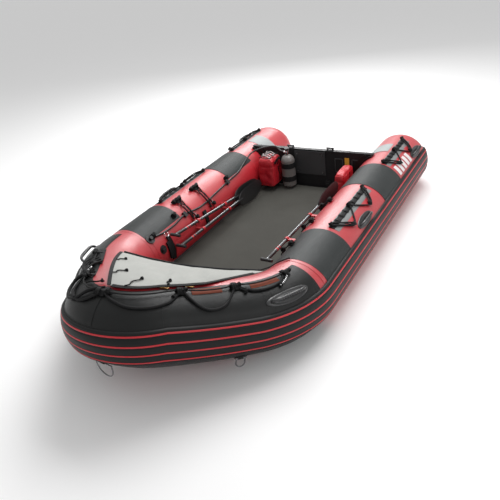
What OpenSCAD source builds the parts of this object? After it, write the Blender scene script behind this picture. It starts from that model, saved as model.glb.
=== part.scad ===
// Inflatable rescue dinghy: two side tubes, a raised curved bow tube, a transom and its stowed gear.
// Millimetres. +X is forward, +Y is port, +Z is up. The origin is at the middle of the box, on the ground.

/* [Hull] */
// Diameter of the inflated tubes
tube_d = 500; // [400:10:500]
// Distance between the middle lines of the two side tubes
tube_span = 1470; // [1400:10:1800]
// Length of the straight side tubes, from the stern dome to the bow corner
side_l = 2442; // [1900:2:3000]
// Depth of the domed stern ends
dome_depth = 200; // [150:5:230]
// Thickness of the tube wall
wall = 4; // [3:0.5:8]

/* [Bow] */
// Radius of the bow corners, on the tube's middle line
corner_r = 682; // [400:1:900]
// Angle that each bow limb turns inwards
limb_turn = 39.6; // [30:0.1:55]
// Radius of the nose, on the tube's middle line
nose_r = 262; // [255:1:320]
// Height that the bow rises above the side tubes
sheer = 250; // [100:5:350]
// Power of the curve that the bow rises along
sheer_power = 1.8; // [1.2:0.1:3]

/* [Rubbing strake] */
// Thickness of the strake between its ribs
strake_t = 17; // [10:1:25]
// Height of the strake's ribs above its flats
rib_h = 5; // [2:0.5:8]
// Lowest angle that the strake reaches on the tube
strake_low = -24; // [-30:1:-15]
// Highest angle that the strake reaches on the tube
strake_high = 29; // [20:1:32]
// Width of each coloured line, as an angle on the tube
line_turn = 2.8; // [1.5:0.1:4]

/* [Skins and patches] */
// Thickness of the glued wear patches
patch_t = 2; // [1:0.25:4]
// Length of each wear patch along the tube
patch_l = 445; // [300:5:500]
// Length of tube between the front and the middle patch
bay_l = 803; // [500:1:900]
// Angle on the tube where a patch ends inside the boat
patch_end = 137; // [110:1:140]

/* [Floor and bottom] */
// Height of the floor's top above the ground
floor_z = 125; // [100:1:140]
// Thickness of the inflated floor
floor_t = 55; // [30:1:60]
// Radius of the keel tube
keel_r = 24; // [15:1:24]
// Thickness of the bottom skin
skin_t = 4; // [3:0.5:6]

/* [Transom] */
// Distance from the stern dome to the transom's front face
transom_inset = 550; // [350:5:700]
// Thickness of the transom board
transom_t = 40; // [25:1:50]
// Height of the transom's top edge above the ground
transom_z = 500; // [440:1:540]
// Width of the motor pads
pad_w = 320; // [200:5:400]
// Height of the motor pads
pad_h = 240; // [150:5:280]
// Distance between the cleats on the transom's top
cleat_span = 416; // [340:2:600]

/* [Lacing and handles] */
// Width of the lacing strips
strip_w = 46; // [30:1:60]
// Diameter of the lacing rope
rope_d = 12; // [8:1:16]
// Length of a moulded carry handle
handle_l = 275; // [200:5:320]
// Width of a moulded carry handle
handle_w = 84; // [80:2:90]
// Radius of a handle's grip
grip_r = 11; // [9:0.5:13]
// Finger room under a handle's grip
finger_gap = 20; // [18:1:32]

/* [Paddles] */
// Length of a paddle
paddle_l = 1400; // [1200:10:1420]
// Diameter of a paddle's shaft
shaft_d = 28; // [23:1:34]
// Length of a paddle's blade
blade_l = 450; // [350:5:500]
// Width of a paddle's blade
blade_w = 168; // [140:2:180]
// Running clearance between a shaft and its collars
shaft_gap = 0.1; // [0.05:0.01:0.3]

/* [Air cylinder] */
// Diameter of the air cylinder
bottle_d = 134; // [100:2:150]
// Height of the air cylinder's body
bottle_h = 310; // [250:5:340]
// Diameter of the hose
hose_d = 16; // [12:1:20]

/* [Stowage] */
// Length of the starboard gear bag
bag_l = 220; // [180:5:230]
// Depth of the starboard gear bag
bag_w = 194; // [150:2:196]
// Height of the gear bags
bag_h = 310; // [240:5:320]
// Length of the port gear bag
port_bag_l = 285; // [200:5:300]

/* [Bow rings and valves] */
// Diameter of the wire in the bow rings
ring_wire = 8; // [6:0.5:10]
// Width of the port bow ring between the middles of its legs
ring_w = 60; // [50:1:80]
// Height of the port bow ring
ring_h = 62; // [50:1:70]
// Width of the stem ring between the middles of its legs
stem_w = 150; // [100:2:170]
// Height of the stem ring
stem_h = 100; // [90:1:120]
// Diameter of a valve's flange
valve_d = 72; // [60:1:90]
// Diameter of the drain bore in the transom
drain_d = 34; // [25:1:42]

/* [Hidden] */

r = tube_d / 2;
half = tube_span / 2;
glue = 1;
hair = 0.3;
full_fn = 96;
round_fn = 40;
turn_rad = limb_turn * PI / 180;
nose_rad = (90 - limb_turn) * PI / 180;

// The bow's middle line: a corner arc, a straight limb and half the nose, measured along the line.
corner_s = corner_r * turn_rad;
limb_y0 = half - corner_r * (1 - cos(limb_turn));
limb_s = (limb_y0 - nose_r * cos(limb_turn)) / sin(limb_turn);
nose_s = nose_r * nose_rad;
half_s = corner_s + limb_s + nose_s;
nose_x = corner_r * sin(limb_turn) + limb_s * cos(limb_turn) - nose_r * sin(limb_turn);
apex_dx = nose_x + nose_r;
strake_r = r + glue + strake_t + rib_h;
front_reach = apex_dx + strake_r;
stern_reach = side_l + dome_depth;
corner_x = (stern_reach - front_reach) / 2;
dome_x = corner_x - side_l;
dome_r = (r * r + dome_depth * dome_depth) / (2 * dome_depth);
dome_back = dome_r - dome_depth;

// Stations along the side tubes.
patch_front_x = corner_x - patch_l;
bay_x = patch_front_x - bay_l / 2;
patch_mid_x = patch_front_x - bay_l - patch_l;
strip_gap = 42;
stern_margin = 110;
strip_a = 76;
strip_front_x = patch_front_x - bay_l + strip_gap;
strip_front_l = bay_l - 2 * strip_gap;
strip_rear_x = dome_x + stern_margin;
strip_rear_l = patch_mid_x - strip_gap / 2 - strip_rear_x;
loop_a = 54;
strip_t = 6;

transom_x = dome_x + transom_inset;
holder_t = 18;
fin_h = 55;
fin_t = 12;
transom_z0 = 45;
transom_half = half - 85;
pad_t = 8;
drain_y = 180;
drain_z = 166;
keel_z = 42;
floor_front_x = corner_x + 410;

// Places of the line colours on the strake, and its ribs between them.
line_angles = [22.6, 9.2, -4.2, -17.6];
rib_pitch = 13.4;
strake_step = (strake_high - strake_low) / 20;

function bow_half_at(s) =
  s <= corner_s ?
    let (h = s / corner_r * 180 / PI)
    [corner_x + corner_r * sin(h), half - corner_r * (1 - cos(h)), h]
  : s <= corner_s + limb_s ?
    let (d = s - corner_s)
    [corner_x + corner_r * sin(limb_turn) + d * cos(limb_turn), limb_y0 - d * sin(limb_turn), limb_turn]
  : let (h = limb_turn + (s - corner_s - limb_s) / nose_r * 180 / PI)
    [corner_x + nose_x + nose_r * sin(h), nose_r * cos(h), h];

function sheer_at(x) = sheer * pow(max(0, (x - corner_x) / apex_dx), sheer_power);
function slope_at(x) = sheer * sheer_power * pow(max(0, (x - corner_x) / apex_dx), sheer_power - 1)
  / apex_dx;

// A station is its point, its heading in plan and its pitch; past the nose the port half is mirrored.
function bow_at(s) =
  s <= half_s ?
    let (b = bow_half_at(s))
    [[b[0], b[1], r + sheer_at(b[0])], b[2], atan(slope_at(b[0]) * cos(b[2]))]
  : let (b = bow_at(2 * half_s - s))
    [[b[0][0], -b[0][1], b[0][2]], 180 - b[1], -b[2]];

function out_dir(st) = [sin(st[1]), cos(st[1]), 0];
function up_dir(st) = [-cos(st[1]) * sin(st[2]), sin(st[1]) * sin(st[2]), cos(st[2])];
function on_bow(s, a, d) = let (st = bow_at(s)) st[0] + d * (cos(a) * out_dir(st) + sin(a) * up_dir(st));
function on_side(x, a, d) = [x, half + d * cos(a), r + d * sin(a)];

corner_steps = 7;
limb_steps = 3;
nose_steps = 5;
half_stations = concat(
  [for (i = [0:corner_steps]) corner_s * i / corner_steps],
  [for (i = [1:limb_steps]) corner_s + limb_s * i / limb_steps],
  [for (i = [1:nose_steps]) corner_s + limb_s + nose_s * i / nose_steps]);
bow_stations = concat(half_stations,
  [for (i = [len(half_stations) - 2:-1:0]) 2 * half_s - half_stations[i]]);

function circle_points(d, n) = [for (i = [0:n - 1]) d * [cos(360 * i / n), sin(360 * i / n)]];
function sector_points(d0, d1, a0, a1, n) = concat(
  [for (i = [0:n]) let (a = a0 + (a1 - a0) * i / n) d1 * [cos(a), sin(a)]],
  [for (i = [n:-1:0]) let (a = a0 + (a1 - a0) * i / n) d0 * [cos(a), sin(a)]]);

// Ribs stand between the coloured lines, which lie on flats.
function rib_at(a) = let (d = abs(((a - line_angles[0]) % rib_pitch + rib_pitch)
  % rib_pitch - rib_pitch / 2))
  d < rib_pitch / 2 - line_turn ? rib_h : 0;
function strake_points() = concat(
  [for (i = [0:20]) let (a = strake_low + strake_step * i)
    (r + glue + (i == 0 || i == 20 ? strake_t / 3 : strake_t + rib_at(a))) * [cos(a), sin(a)]],
  [for (i = [10:-1:0]) let (a = strake_low + 2 * strake_step * i) (r + glue) * [cos(a), sin(a)]]);

function swept(stations, outline) = [for (s = stations) let (st = bow_at(s)) each
  [for (q = outline) st[0] + q[0] * out_dir(st) + q[1] * up_dir(st)]];
// The skin between rings i0 .. i0 + m - 1 of n points each, as triangles.
function ring_skin(i0, m, n) = [for (i = [i0:i0 + m - 2]) for (j = [0:n - 1])
  let (a = i * n + j, b = a + n, c = (i + 1) * n + (j + 1) % n, d = i * n + (j + 1) % n)
  each [[a, b, c], [a, c, d]]];

// A body swept through stations; the outline runs anticlockwise seen from ahead.
module sweep(stations, outline) {
  n = len(outline);
  m = len(stations);
  faces = concat([[for (j = [0:n - 1]) j]], ring_skin(0, m, n), [[for (j = [n - 1:-1:0]) (m - 1)
    * n + j]]);
  polyhedron(swept(stations, outline), faces);
}

// A hollow sweep between two round outlines, open at both ends.
module sweep_pipe(stations, d_out, d_in, n) {
  m = len(stations);
  k = m * n;
  inner = [for (f = ring_skin(0, m, n)) [f[0] + k, f[2] + k, f[1] + k]];
  start = [for (j = [0:n - 1]) let (e = (j + 1) % n) each [[j, e, e + k], [j, e + k, j + k]]];
  last = k - n;
  end = [for (j = [0:n - 1]) let (e = (j + 1) % n)
    each [[last + j, last + e + k, last + e], [last + j, last + j + k, last + e + k]]];
  polyhedron(concat(swept(stations, circle_points(d_out, n)), swept(stations, circle_points(d_in, n))),
    concat(ring_skin(0, m, n), inner, start, end));
}

function unit(v) = v / max(norm(v), 0.001);
function tube_dir(p, i) = unit(p[min(i + 1, len(p) - 1)] - p[max(i - 1, 0)]);

// A round cord or hose through a list of points.
module cord(p, d, n = 8) {
  m = len(p);
  points = [for (i = [0:m - 1])
    let (t = tube_dir(p, i), side = unit(cross(abs(t[2]) > 0.9 ? [1, 0, 0] : [0, 0, 1], t)),
      up = cross(t, side))
    each [for (j = [0:n - 1]) p[i] + d / 2 * (cos(360 * j / n) * side + sin(360 * j / n) * up)]];
  faces = concat([[for (j = [0:n - 1]) j]], ring_skin(0, m, n), [[for (j = [n - 1:-1:0]) (m - 1)
    * n + j]]);
  polyhedron(points, faces);
}

module starboard() mirror([0, 1, 0]) children();

// Turns an outline in the tube's cross-section into a length of tube fitting.
module along(x0, l) translate([x0, half, r]) rotate([90, 0, 90]) linear_extrude(l) children();

module sector(d0, d1, a0, a1) intersection() {
  difference() {
    circle(d1, $fn = full_fn);
    circle(d0, $fn = full_fn);
  }
  polygon(concat([[0, 0]], [for (i = [0:6]) let (a = a0 + (a1 - a0) * i / 6) 2 * d1 * [cos(a),
    sin(a)]]));
}

// Places children on a side tube, with their z pointing out of it.
module at_side(x, a, d) translate([x, half, r]) rotate([a - 90, 0, 0]) translate([0, 0, d]) children();

// Places children on the bow tube in the same way.
module at_bow(s, a, d) {
  st = bow_at(s);
  translate(st[0]) rotate([0, 0, -st[1]]) rotate([0, -st[2], 0]) rotate([a - 90, 0, 0])
    translate([0, 0, d]) children();
}

module oval(l, w) {
  square([l - w, w], center = true);
  for (x = [-1, 1]) translate([x * (l - w) / 2, 0]) circle(w / 2, $fn = round_fn);
}

/* Tubes */

// Half the outline of a side tube's inside or outside, in the plane of its axis.
module tube_outline(d) {
  square([d, side_l + 1]);
  intersection() {
    translate([0, dome_back]) circle(norm([d, dome_back]), $fn = full_fn);
    translate([0, -dome_r]) square([d, dome_r]);
  }
}

valve_x = corner_x - 90;
valve_a = 165;
barrel_d = 50;

module side_tube() difference() {
  translate([dome_x, half, r]) rotate([0, 90, 0]) rotate_extrude($fn = full_fn) difference() {
    tube_outline(r);
    tube_outline(r - wall);
    translate([0, side_l]) square([r + 1, 2]);
  }
  at_side(valve_x, valve_a, r - 2 * wall) cylinder(4 * wall, barrel_d / 2 + hair, barrel_d / 2 + hair,
    $fn = round_fn);
}

module tube_port() color("firebrick") side_tube();
module tube_starboard() color("firebrick") starboard() side_tube();

bow_sides = 36;
module bow_tube() color("firebrick") sweep_pipe(bow_stations, r, r - wall, bow_sides);

bulkhead_t = 5;
module bulkheads() color("dimgray") for (y = [-half, half])
  for (x = [corner_x - 3 * bulkhead_t, bay_x - strip_front_l])
    translate([x, y, r]) rotate([0, 90, 0]) cylinder(bulkhead_t, r - wall - hair, r - wall - hair,
      $fn = full_fn);

shield_low = -80;
shield_high = 90;
module bow_shield() color("#232426") {
  sweep(bow_stations, sector_points(r + glue, r + glue + patch_t, strake_high + 2, shield_high, 7));
  sweep(bow_stations, sector_points(r + glue, r + glue + patch_t, shield_low, strake_low - 2, 7));
}

module side_patches() for (x = [patch_front_x, patch_mid_x])
  along(x, patch_l - hair) sector(r + hair, r + hair + patch_t, strake_high + 2, patch_end);
module patches_port() color("#3c3f40") side_patches();
module patches_starboard() color("#3c3f40") starboard() side_patches();

band_l = 190;
module side_band() along(transom_x - transom_t - fin_t - band_l - 20, band_l)
  sector(r + hair, r + hair + patch_t, 84, 150);
module stern_bands() color("#8f9694") {
  side_band();
  starboard() side_band();
}

/* Strake */

module dome_strake(d0, d1, a0, a1) intersection() {
  difference() {
    translate([dome_x + dome_back, half, r]) sphere(d1, $fn = full_fn);
    translate([dome_x + dome_back, half, r]) sphere(d0, $fn = full_fn);
  }
  along(dome_x - dome_depth / 2, dome_depth / 2) polygon(concat([[0, 0]],
    [for (i = [0:6]) let (a = a0 + (a1 - a0) * i / 6) 2 * r * [cos(a), sin(a)]]));
}

module side_strake() {
  along(dome_x, side_l) polygon(strake_points());
  dome_strake(dome_r + glue, dome_r + glue + strake_t, strake_low, strake_high);
}
module strake_port() color("#2b2d2e") side_strake();
module strake_starboard() color("#2b2d2e") starboard() side_strake();
module strake_bow() color("#2b2d2e") sweep(bow_stations, strake_points());

line_t = 3;
line_r = r + glue + strake_t + hair;
module side_lines() for (a = line_angles)
  along(dome_x, side_l) sector(line_r, line_r + line_t, a - line_turn / 2, a + line_turn / 2);
module strake_lines() color("#c8202c") {
  side_lines();
  starboard() side_lines();
  for (a = line_angles)
    sweep(bow_stations, sector_points(line_r, line_r + line_t, a - line_turn / 2, a + line_turn / 2, 1));
}

/* Bottom and floor */

skin_a = -104;
keel_drop = 26;
skin_side = concat([[transom_x, half + (r + glue) * cos(skin_a), r + (r + glue) * sin(skin_a)]],
  [for (i = [0:len(half_stations) - 2]) on_bow(half_stations[i], skin_a, r + glue)]);

module hull_skin() color("#1f2122") {
  rows = [for (p = skin_side) [p[0], max(p[1], 2), p[2] - skin_t]];
  m = len(rows);
  points = [for (q = rows) let (low = max(q[2] - keel_drop * min(1, q[1] / 300), 2)) each [
    [q[0], q[1], q[2]], [q[0], 0, low], [q[0], -q[1], q[2]],
    [q[0], -q[1], q[2] + skin_t], [q[0], 0, low + skin_t], [q[0], q[1], q[2] + skin_t]]];
  faces = concat([[5, 4, 3, 2, 1, 0]], [for (f = ring_skin(0, m, 6)) [f[0], f[2], f[1]]],
    [[for (j = [0:5]) (m - 1) * 6 + j]]);
  polyhedron(points, faces);
}

module keel_tube() color("#3a3c3e") translate([transom_x + 20, 0, keel_z]) rotate([0, 90, 0])
  cylinder(corner_x - transom_x, keel_r, keel_r, $fn = round_fn);

floor_edge = sqrt(r * r - pow(r - floor_z, 2)) + 3;
floor_x = transom_x + 26;
floor_stations = [for (i = [0:20]) corner_s * i / 20];
function floor_side(sign) = [for (s = floor_stations) let (b = bow_half_at(s))
  if (b[0] < floor_front_x) [b[0] - floor_edge * sin(b[2]), sign * (b[1] - floor_edge * cos(b[2]))]];
module floor_deck() color("#5b5e5a") translate([0, 0, floor_z - floor_t]) linear_extrude(floor_t)
  polygon(concat([[floor_x, half - floor_edge]], floor_side(1),
    [for (i = [len(floor_side(-1)) - 1:-1:0]) floor_side(-1)[i]], [[floor_x, -half + floor_edge]]));

/* Transom */

pad_z = transom_z - pad_h - 12;
bolt_d = 10;
bolt_inset = 30;
module at_pad_bolts() for (y = [-1, 1]) for (z = [bolt_inset, pad_h - bolt_inset])
  translate([transom_x, y * (pad_w / 2 - bolt_inset), pad_z + z]) rotate([0, 90, 0]) children();

module transom_board() color("#1d1e1f") difference() {
  translate([transom_x - transom_t, -transom_half, transom_z0])
    cube([transom_t, 2 * transom_half, transom_z - transom_z0]);
  for (y = [-half, half]) translate([transom_x - transom_t - 1, y, r]) rotate([0, 90, 0])
    cylinder(transom_t + 2, r + holder_t + 1, r + holder_t + 1, $fn = full_fn);
  translate([transom_x - transom_t - 1, drain_y, drain_z]) rotate([0, 90, 0])
    cylinder(transom_t + 2, drain_d / 2, drain_d / 2, $fn = round_fn);
  at_pad_bolts() translate([0, 0, -transom_t - 1]) cylinder(transom_t + 2, bolt_d / 2, bolt_d / 2,
    $fn = round_fn);
}

module side_holder() {
  along(transom_x - transom_t - fin_t - 10, transom_t + 2 * fin_t + 20) sector(r + hair, r + holder_t,
    115, 235);
  for (x = [transom_x + 0.5, transom_x - transom_t - fin_t - 0.5])
    along(x, fin_t) sector(r + holder_t - 1, r + fin_h, 125, 225);
}
module transom_holders() color("#26282a") {
  side_holder();
  starboard() side_holder();
}

cleat_h = 30;
module transom_cleats() color("#1a1b1c") for (y = [-1, 1]) translate([transom_x - transom_t,
  y * cleat_span / 2, transom_z]) {
  translate([2, -35, hair]) cube([transom_t - 4, 70, 8]);
  for (t = [-1, 1]) translate([transom_t / 2, t * 25, hair]) cylinder(cleat_h, 7, 7, $fn = round_fn);
  translate([transom_t / 2, -38, cleat_h - 6]) rotate([-90, 0, 0]) cylinder(76, 7, 7, $fn = round_fn);
}

module motor_pads() color("#2e3133") difference() {
  for (x = [transom_x + hair, transom_x - transom_t - pad_t - hair])
    translate([x, -pad_w / 2, pad_z]) cube([pad_t, pad_w, pad_h]);
  at_pad_bolts() translate([0, 0, -transom_t - 2 * pad_t]) cylinder(transom_t + 4 * pad_t, bolt_d / 2,
    bolt_d / 2, $fn = round_fn);
}

tag_y = 381;
module amber_tag() color("#d79a2b") translate([transom_x + hair, tag_y - 22, 340]) cube([2, 44, 105]);

flange_t = 5;
module drain_flange() color("#222426") translate([transom_x + hair, drain_y, drain_z]) rotate([0, 90,
  0]) difference() {
  cylinder(flange_t, drain_d, drain_d, $fn = round_fn);
  translate([0, 0, -1]) cylinder(flange_t + 2, drain_d / 2, drain_d / 2, $fn = round_fn);
}

plug_gap = 0.4;
module drain_plug() color("#101112") translate([transom_x, drain_y, drain_z]) rotate([0, 90, 0]) {
  translate([0, 0, -transom_t + 8]) cylinder(transom_t, drain_d / 2 - plug_gap, drain_d / 2 - plug_gap,
    $fn = round_fn);
  translate([0, 0, flange_t + 2 * hair]) cylinder(7, drain_d / 2 + 6, drain_d / 2 + 6, $fn = round_fn);
  translate([-5, -14, flange_t + 6]) cube([10, 28, 14]);
}

/* Lacing and handles */

module side_strips() {
  half_w = strip_w / 2 / r * 180 / PI;
  along(strip_front_x, strip_front_l) sector(r + hair, r + strip_t, strip_a - half_w, strip_a + half_w);
  along(strip_rear_x, strip_rear_l) sector(r + hair, r + strip_t, strip_a - half_w, strip_a + half_w);
}
module lacing_strips() color("#17191a") {
  side_strips();
  starboard() side_strips();
}

rope_lift = strip_t + rope_d / 2 + 2.5;
front_shares = [0, 0.14, 0.30, 0.42, 0.5, 0.58, 0.70, 0.86, 1];
rear_shares = [0, 0.20, 0.38, 0.5, 0.6, 0.7, 0.82, 0.92, 1];
function lacing_route(x0, l, shares) = [for (k = [0:8])
  on_side(x0 + 12 + (l - 24) * shares[k],
    [strip_a, 64, loop_a, 62, strip_a, 62, loop_a, 64, strip_a][k], r + rope_lift)];
module side_ropes() {
  cord(lacing_route(strip_front_x, strip_front_l, front_shares), rope_d, 8);
  cord(lacing_route(strip_rear_x, strip_rear_l, rear_shares), rope_d, 8);
}
module lacing_ropes() color("#0e0f10") {
  side_ropes();
  starboard() side_ropes();
}

handle_a = 40;
base_t = 6;
grip_z = base_t + finger_gap + grip_r;
leg_span = handle_l - handle_w;
module grip(sink) {
  for (x = [-1, 1]) translate([x * leg_span / 2, 0, -sink]) cylinder(grip_z + sink, grip_r, grip_r,
    $fn = round_fn);
  for (x = [-1, 1]) translate([x * leg_span / 2, 0, grip_z]) sphere(grip_r, $fn = round_fn);
  translate([-leg_span / 2, 0, grip_z]) rotate([0, 90, 0]) cylinder(leg_span, grip_r, grip_r,
    $fn = round_fn);
}

module side_handle(x) {
  intersection() {
    along(x - handle_l, 2 * handle_l) sector(r + hair, r + base_t, handle_a - 20, handle_a + 20);
    at_side(x, handle_a, r - handle_w / 2) linear_extrude(handle_w) oval(handle_l, handle_w);
  }
  at_side(x, handle_a, r) grip(-base_t / 2);
}

handle_mid_x = bay_x + 20;
handle_stern_x = dome_x + 185;
module handle_port_mid() color("#141516") side_handle(handle_mid_x);
module handle_port_stern() color("#141516") side_handle(handle_stern_x);
module handle_starboard_mid() color("#141516") starboard() side_handle(handle_mid_x);
module handle_starboard_stern() color("#141516") starboard() side_handle(handle_stern_x);

bow_handle_s = corner_s * 0.64;
bow_handle_a = 45;
skin_r = r + glue + patch_t;
module bow_handle(s) {
  reach = handle_l / 2 + 10;
  intersection() {
    sweep([for (i = [-3:3]) s + reach * i / 3],
      sector_points(skin_r + hair, skin_r + base_t + 1, bow_handle_a - 16, bow_handle_a + 16, 6));
    at_bow(s, bow_handle_a, r - handle_w / 2) linear_extrude(handle_w) oval(handle_l, handle_w);
  }
  at_bow(s, bow_handle_a, skin_r) grip(-1);
}
module handle_port_bow() color("#141516") bow_handle(bow_handle_s);
module handle_starboard_bow() color("#141516") bow_handle(2 * half_s - bow_handle_s);

/* Grab line round the bow, with its anchors and tags */

anchor_s = [for (f = [0.17, 0.46, 0.73, 0.995, 1.17, 1.42, 1.62]) half_s * f];
anchor_a = 80;
sag_a = [66, 47, 58, 58, 64, 64];
line_d = 14;
line_lift = patch_t + glue + line_d / 2 + 3;
grab_route = [for (i = [0:len(anchor_s) - 2]) for (k = [0:6])
  let (t = k / 7) on_bow(anchor_s[i] + (anchor_s[i + 1] - anchor_s[i]) * t,
    anchor_a - 4 - (anchor_a - sag_a[i]) * sin(180 * t), r + line_lift)];
module grab_line() color("#0c0d0e") cord(grab_route, line_d, 8);

anchor_d = 64;
module line_anchors() color("#1b1d1e") for (s = anchor_s) at_bow(s, anchor_a + 10, skin_r + 1.8) {
  cylinder(5, anchor_d / 2, anchor_d / 2, $fn = round_fn);
  translate([-14, -9, 4]) cube([28, 18, 10]);
}

tag_l = 195;
module bow_tags() color("#b04a22") for (f = [0.23, 0.53])
  sweep([for (i = [0:6]) half_s * f + tag_l * i / 6], sector_points(skin_r + 1.6, skin_r + 3.6, 75, 83,
    2));

/* Spray cover over the bow */

cover_t = 4;
cover_lift = 9;
cover_port = [corner_x + 148, half - 175, r + 214];
cover_starboard = [corner_x + 338, -half + 195, r + 296];
cover_s0 = half_s * 0.60;
cover_s1 = half_s * 1.0;
cover_cut = 0.28;
aft_bow = 45;
function mix(a, b, t) = a + (b - a) * t;
function cover_aft(u) = mix(cover_port, cover_starboard, u) + [aft_bow * sin(180 * u), 0,
  -14 * sin(180 * u)];
function cover_crest(t) = on_bow(mix(cover_s0, cover_s1, t), shield_high + 8, skin_r + cover_lift);
function cover_fore(u) = u < cover_cut ?
    mix(cover_port + [12, 0, 3], cover_crest(0), u / cover_cut)
  : cover_crest((u - cover_cut) / (1 - cover_cut));
function cover_at(u, v) =
  let (a = cover_aft(u), f = cover_fore(u))
  [mix(a[0], f[0], v), mix(a[1], f[1], v), mix(a[2], f[2], sin(90 * v))];
cover_nu = 14;
cover_nv = 8;
module dodger() color("#b9bbb2") {
  rows = cover_nv + 1;
  layer = (cover_nu + 1) * rows;
  points = concat(
    [for (i = [0:cover_nu]) for (j = [0:cover_nv]) cover_at(i / cover_nu, j / cover_nv)],
    [for (i = [0:cover_nu]) for (j = [0:cover_nv]) cover_at(i / cover_nu, j / cover_nv) + [0, 0,
      cover_t]]);
  rim = concat([for (i = [0:cover_nu - 1]) i * rows],
    [for (j = [0:cover_nv - 1]) cover_nu * rows + j],
    [for (i = [cover_nu:-1:1]) i * rows + cover_nv],
    [for (j = [cover_nv:-1:1]) j]);
  n = len(rim);
  faces = concat(
    [for (i = [0:cover_nu - 1]) for (j = [0:cover_nv - 1]) let (a = i * rows + j) [a, a + rows,
      a + rows + 1, a + 1]],
    [for (i = [0:cover_nu - 1]) for (j = [0:cover_nv - 1]) let (a = layer + i * rows + j) [a, a + 1,
      a + rows + 1, a + rows]],
    [for (k = [0:n - 1]) [rim[k], rim[k] + layer, rim[(k + 1) % n] + layer, rim[(k + 1) % n]]]);
  polyhedron(points, faces);
}

hem_d = 16;
module dodger_hem() color("#17191a")
  cord([for (i = [0:10]) cover_aft(0.02 + 0.96 * i / 10) + [-hem_d / 2 - 2, 0, cover_t / 2]], hem_d, 8);

hook_s = [0.67, 0.79];
hook_a = 90;
hook_r = 15;
hook_hole_r = 10;
hook_t = 5;
hook_w = 8;
hook_tail = 26;
hook_lift = 4;
module dodger_hooks() color("#b58a3c") for (f = hook_s) at_bow(half_s * f, hook_a, skin_r + hook_lift) {
  difference() {
    cylinder(hook_t, hook_r, hook_r, $fn = round_fn);
    translate([0, 0, -1]) cylinder(hook_t + 2, hook_hole_r, hook_hole_r, $fn = round_fn);
  }
  translate([hook_r - hair, -hook_w / 2, 0]) cube([hook_tail, hook_w, hook_t]);
}

tie_d = 8;
// Each tie: the cover's corner or edge point, then over the tube to its end.
tie_port = [[corner_x + 140, 568, 474], [corner_x + 100, 590, 490], [corner_x + 60, 640, 512],
  [corner_x + 40, 690, 514]];
tie_mid = [[corner_x + 840, 30, 745], [corner_x + 800, -30, 750], [corner_x + 740, -90, 742],
  [corner_x + 690, -130, 728]];
tie_starboard = [[corner_x + 620, -330, 668], [corner_x + 600, -270, 676], [corner_x + 560, -200, 664],
  [corner_x + 520, -140, 648]];
module dodger_ties() color("#121314") for (p = [tie_port, tie_mid, tie_starboard]) cord(p, tie_d, 8);

/* Rings under the bow */

ring_a = -52;
stem_s = half_s * 1.03;
port_ring_s = half_s * 0.44;
tab_t = 12;
pin_lift = tab_t / 2 + 1;
pin_gap = 0.4;
tab_l = 34;
module ring_seat(s) at_bow(s, ring_a, skin_r + hair) difference() {
  union() {
    cylinder(4, 42, 42, $fn = round_fn);
    translate([-tab_l / 2, -9, 3]) cube([tab_l, 18, tab_t]);
  }
  translate([-tab_l, 0, 3 + pin_lift]) rotate([0, 90, 0])
    cylinder(2 * tab_l, ring_wire / 2 + pin_gap, ring_wire / 2 + pin_gap, $fn = round_fn);
}
module ring_patches() color("#1b1d1e") {
  ring_seat(stem_s);
  ring_seat(port_ring_s);
}

// A wire ring with a straight pin and a round foot, hanging down from its pin at rest.
module wire_ring(w, h) {
  leg = h - w / 2;
  translate([-w / 2 - ring_wire, 0, 0]) rotate([0, 90, 0])
    cylinder(w + 2 * ring_wire, ring_wire / 2, ring_wire / 2, $fn = round_fn);
  for (x = [-1, 1]) translate([x * w / 2, 0, -leg]) cylinder(leg, ring_wire / 2, ring_wire / 2,
    $fn = round_fn);
  translate([0, 0, -leg]) rotate([90, 0, 0]) rotate_extrude(angle = -180, $fn = full_fn)
    translate([w / 2, 0]) circle(ring_wire / 2, $fn = round_fn);
}
function seat_pin(s) = on_bow(s, ring_a, skin_r + hair + 3 + pin_lift);
module hung_ring(s, w, h) {
  st = bow_at(s);
  translate(seat_pin(s)) rotate([0, 0, -st[1]]) rotate([0, -st[2], 0]) wire_ring(w, h);
}
module stem_ring() color("silver") hung_ring(stem_s, stem_w, stem_h);
module port_ring() color("silver") hung_ring(port_ring_s, ring_w, ring_h);

/* Air cylinder, valve, hose */

bottle_x = transom_x + bottle_d / 2 + 12;
bottle_y = -204;
bottle_z = floor_z + 1;
shoulder_r = bottle_d / 2;
neck_r = 16;
module air_cylinder() color("#a39a98") translate([bottle_x, bottle_y, bottle_z]) {
  translate([0, 0, shoulder_r / 2]) cylinder(bottle_h - shoulder_r, shoulder_r, shoulder_r,
    $fn = full_fn);
  intersection() {
    translate([0, 0, shoulder_r]) sphere(shoulder_r * 1.118, $fn = full_fn);
    translate([-shoulder_r, -shoulder_r, 0]) cube([2 * shoulder_r, 2 * shoulder_r, shoulder_r / 2 + 1]);
  }
  translate([0, 0, bottle_h - shoulder_r / 2]) intersection() {
    sphere(shoulder_r, $fn = full_fn);
    translate([-shoulder_r, -shoulder_r, 0]) cube([2 * shoulder_r, 2 * shoulder_r, shoulder_r]);
  }
}

valve_z = bottle_z + bottle_h + shoulder_r / 2 + 1;
valve_h = 42;
outlet_z = valve_z + 22;
module cylinder_valve() color("silver") translate([bottle_x, bottle_y, 0]) {
  translate([0, 0, valve_z]) cylinder(valve_h, neck_r, neck_r, $fn = round_fn);
  translate([0, 0, outlet_z]) rotate([90, 0, 0]) cylinder(36, 11, 11, $fn = round_fn);
  translate([-26, 0, outlet_z]) rotate([0, 90, 0]) cylinder(52, 9, 9, $fn = round_fn);
  translate([0, 0, valve_z + valve_h - 1]) cylinder(14, 5, 5, $fn = round_fn);
}

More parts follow.
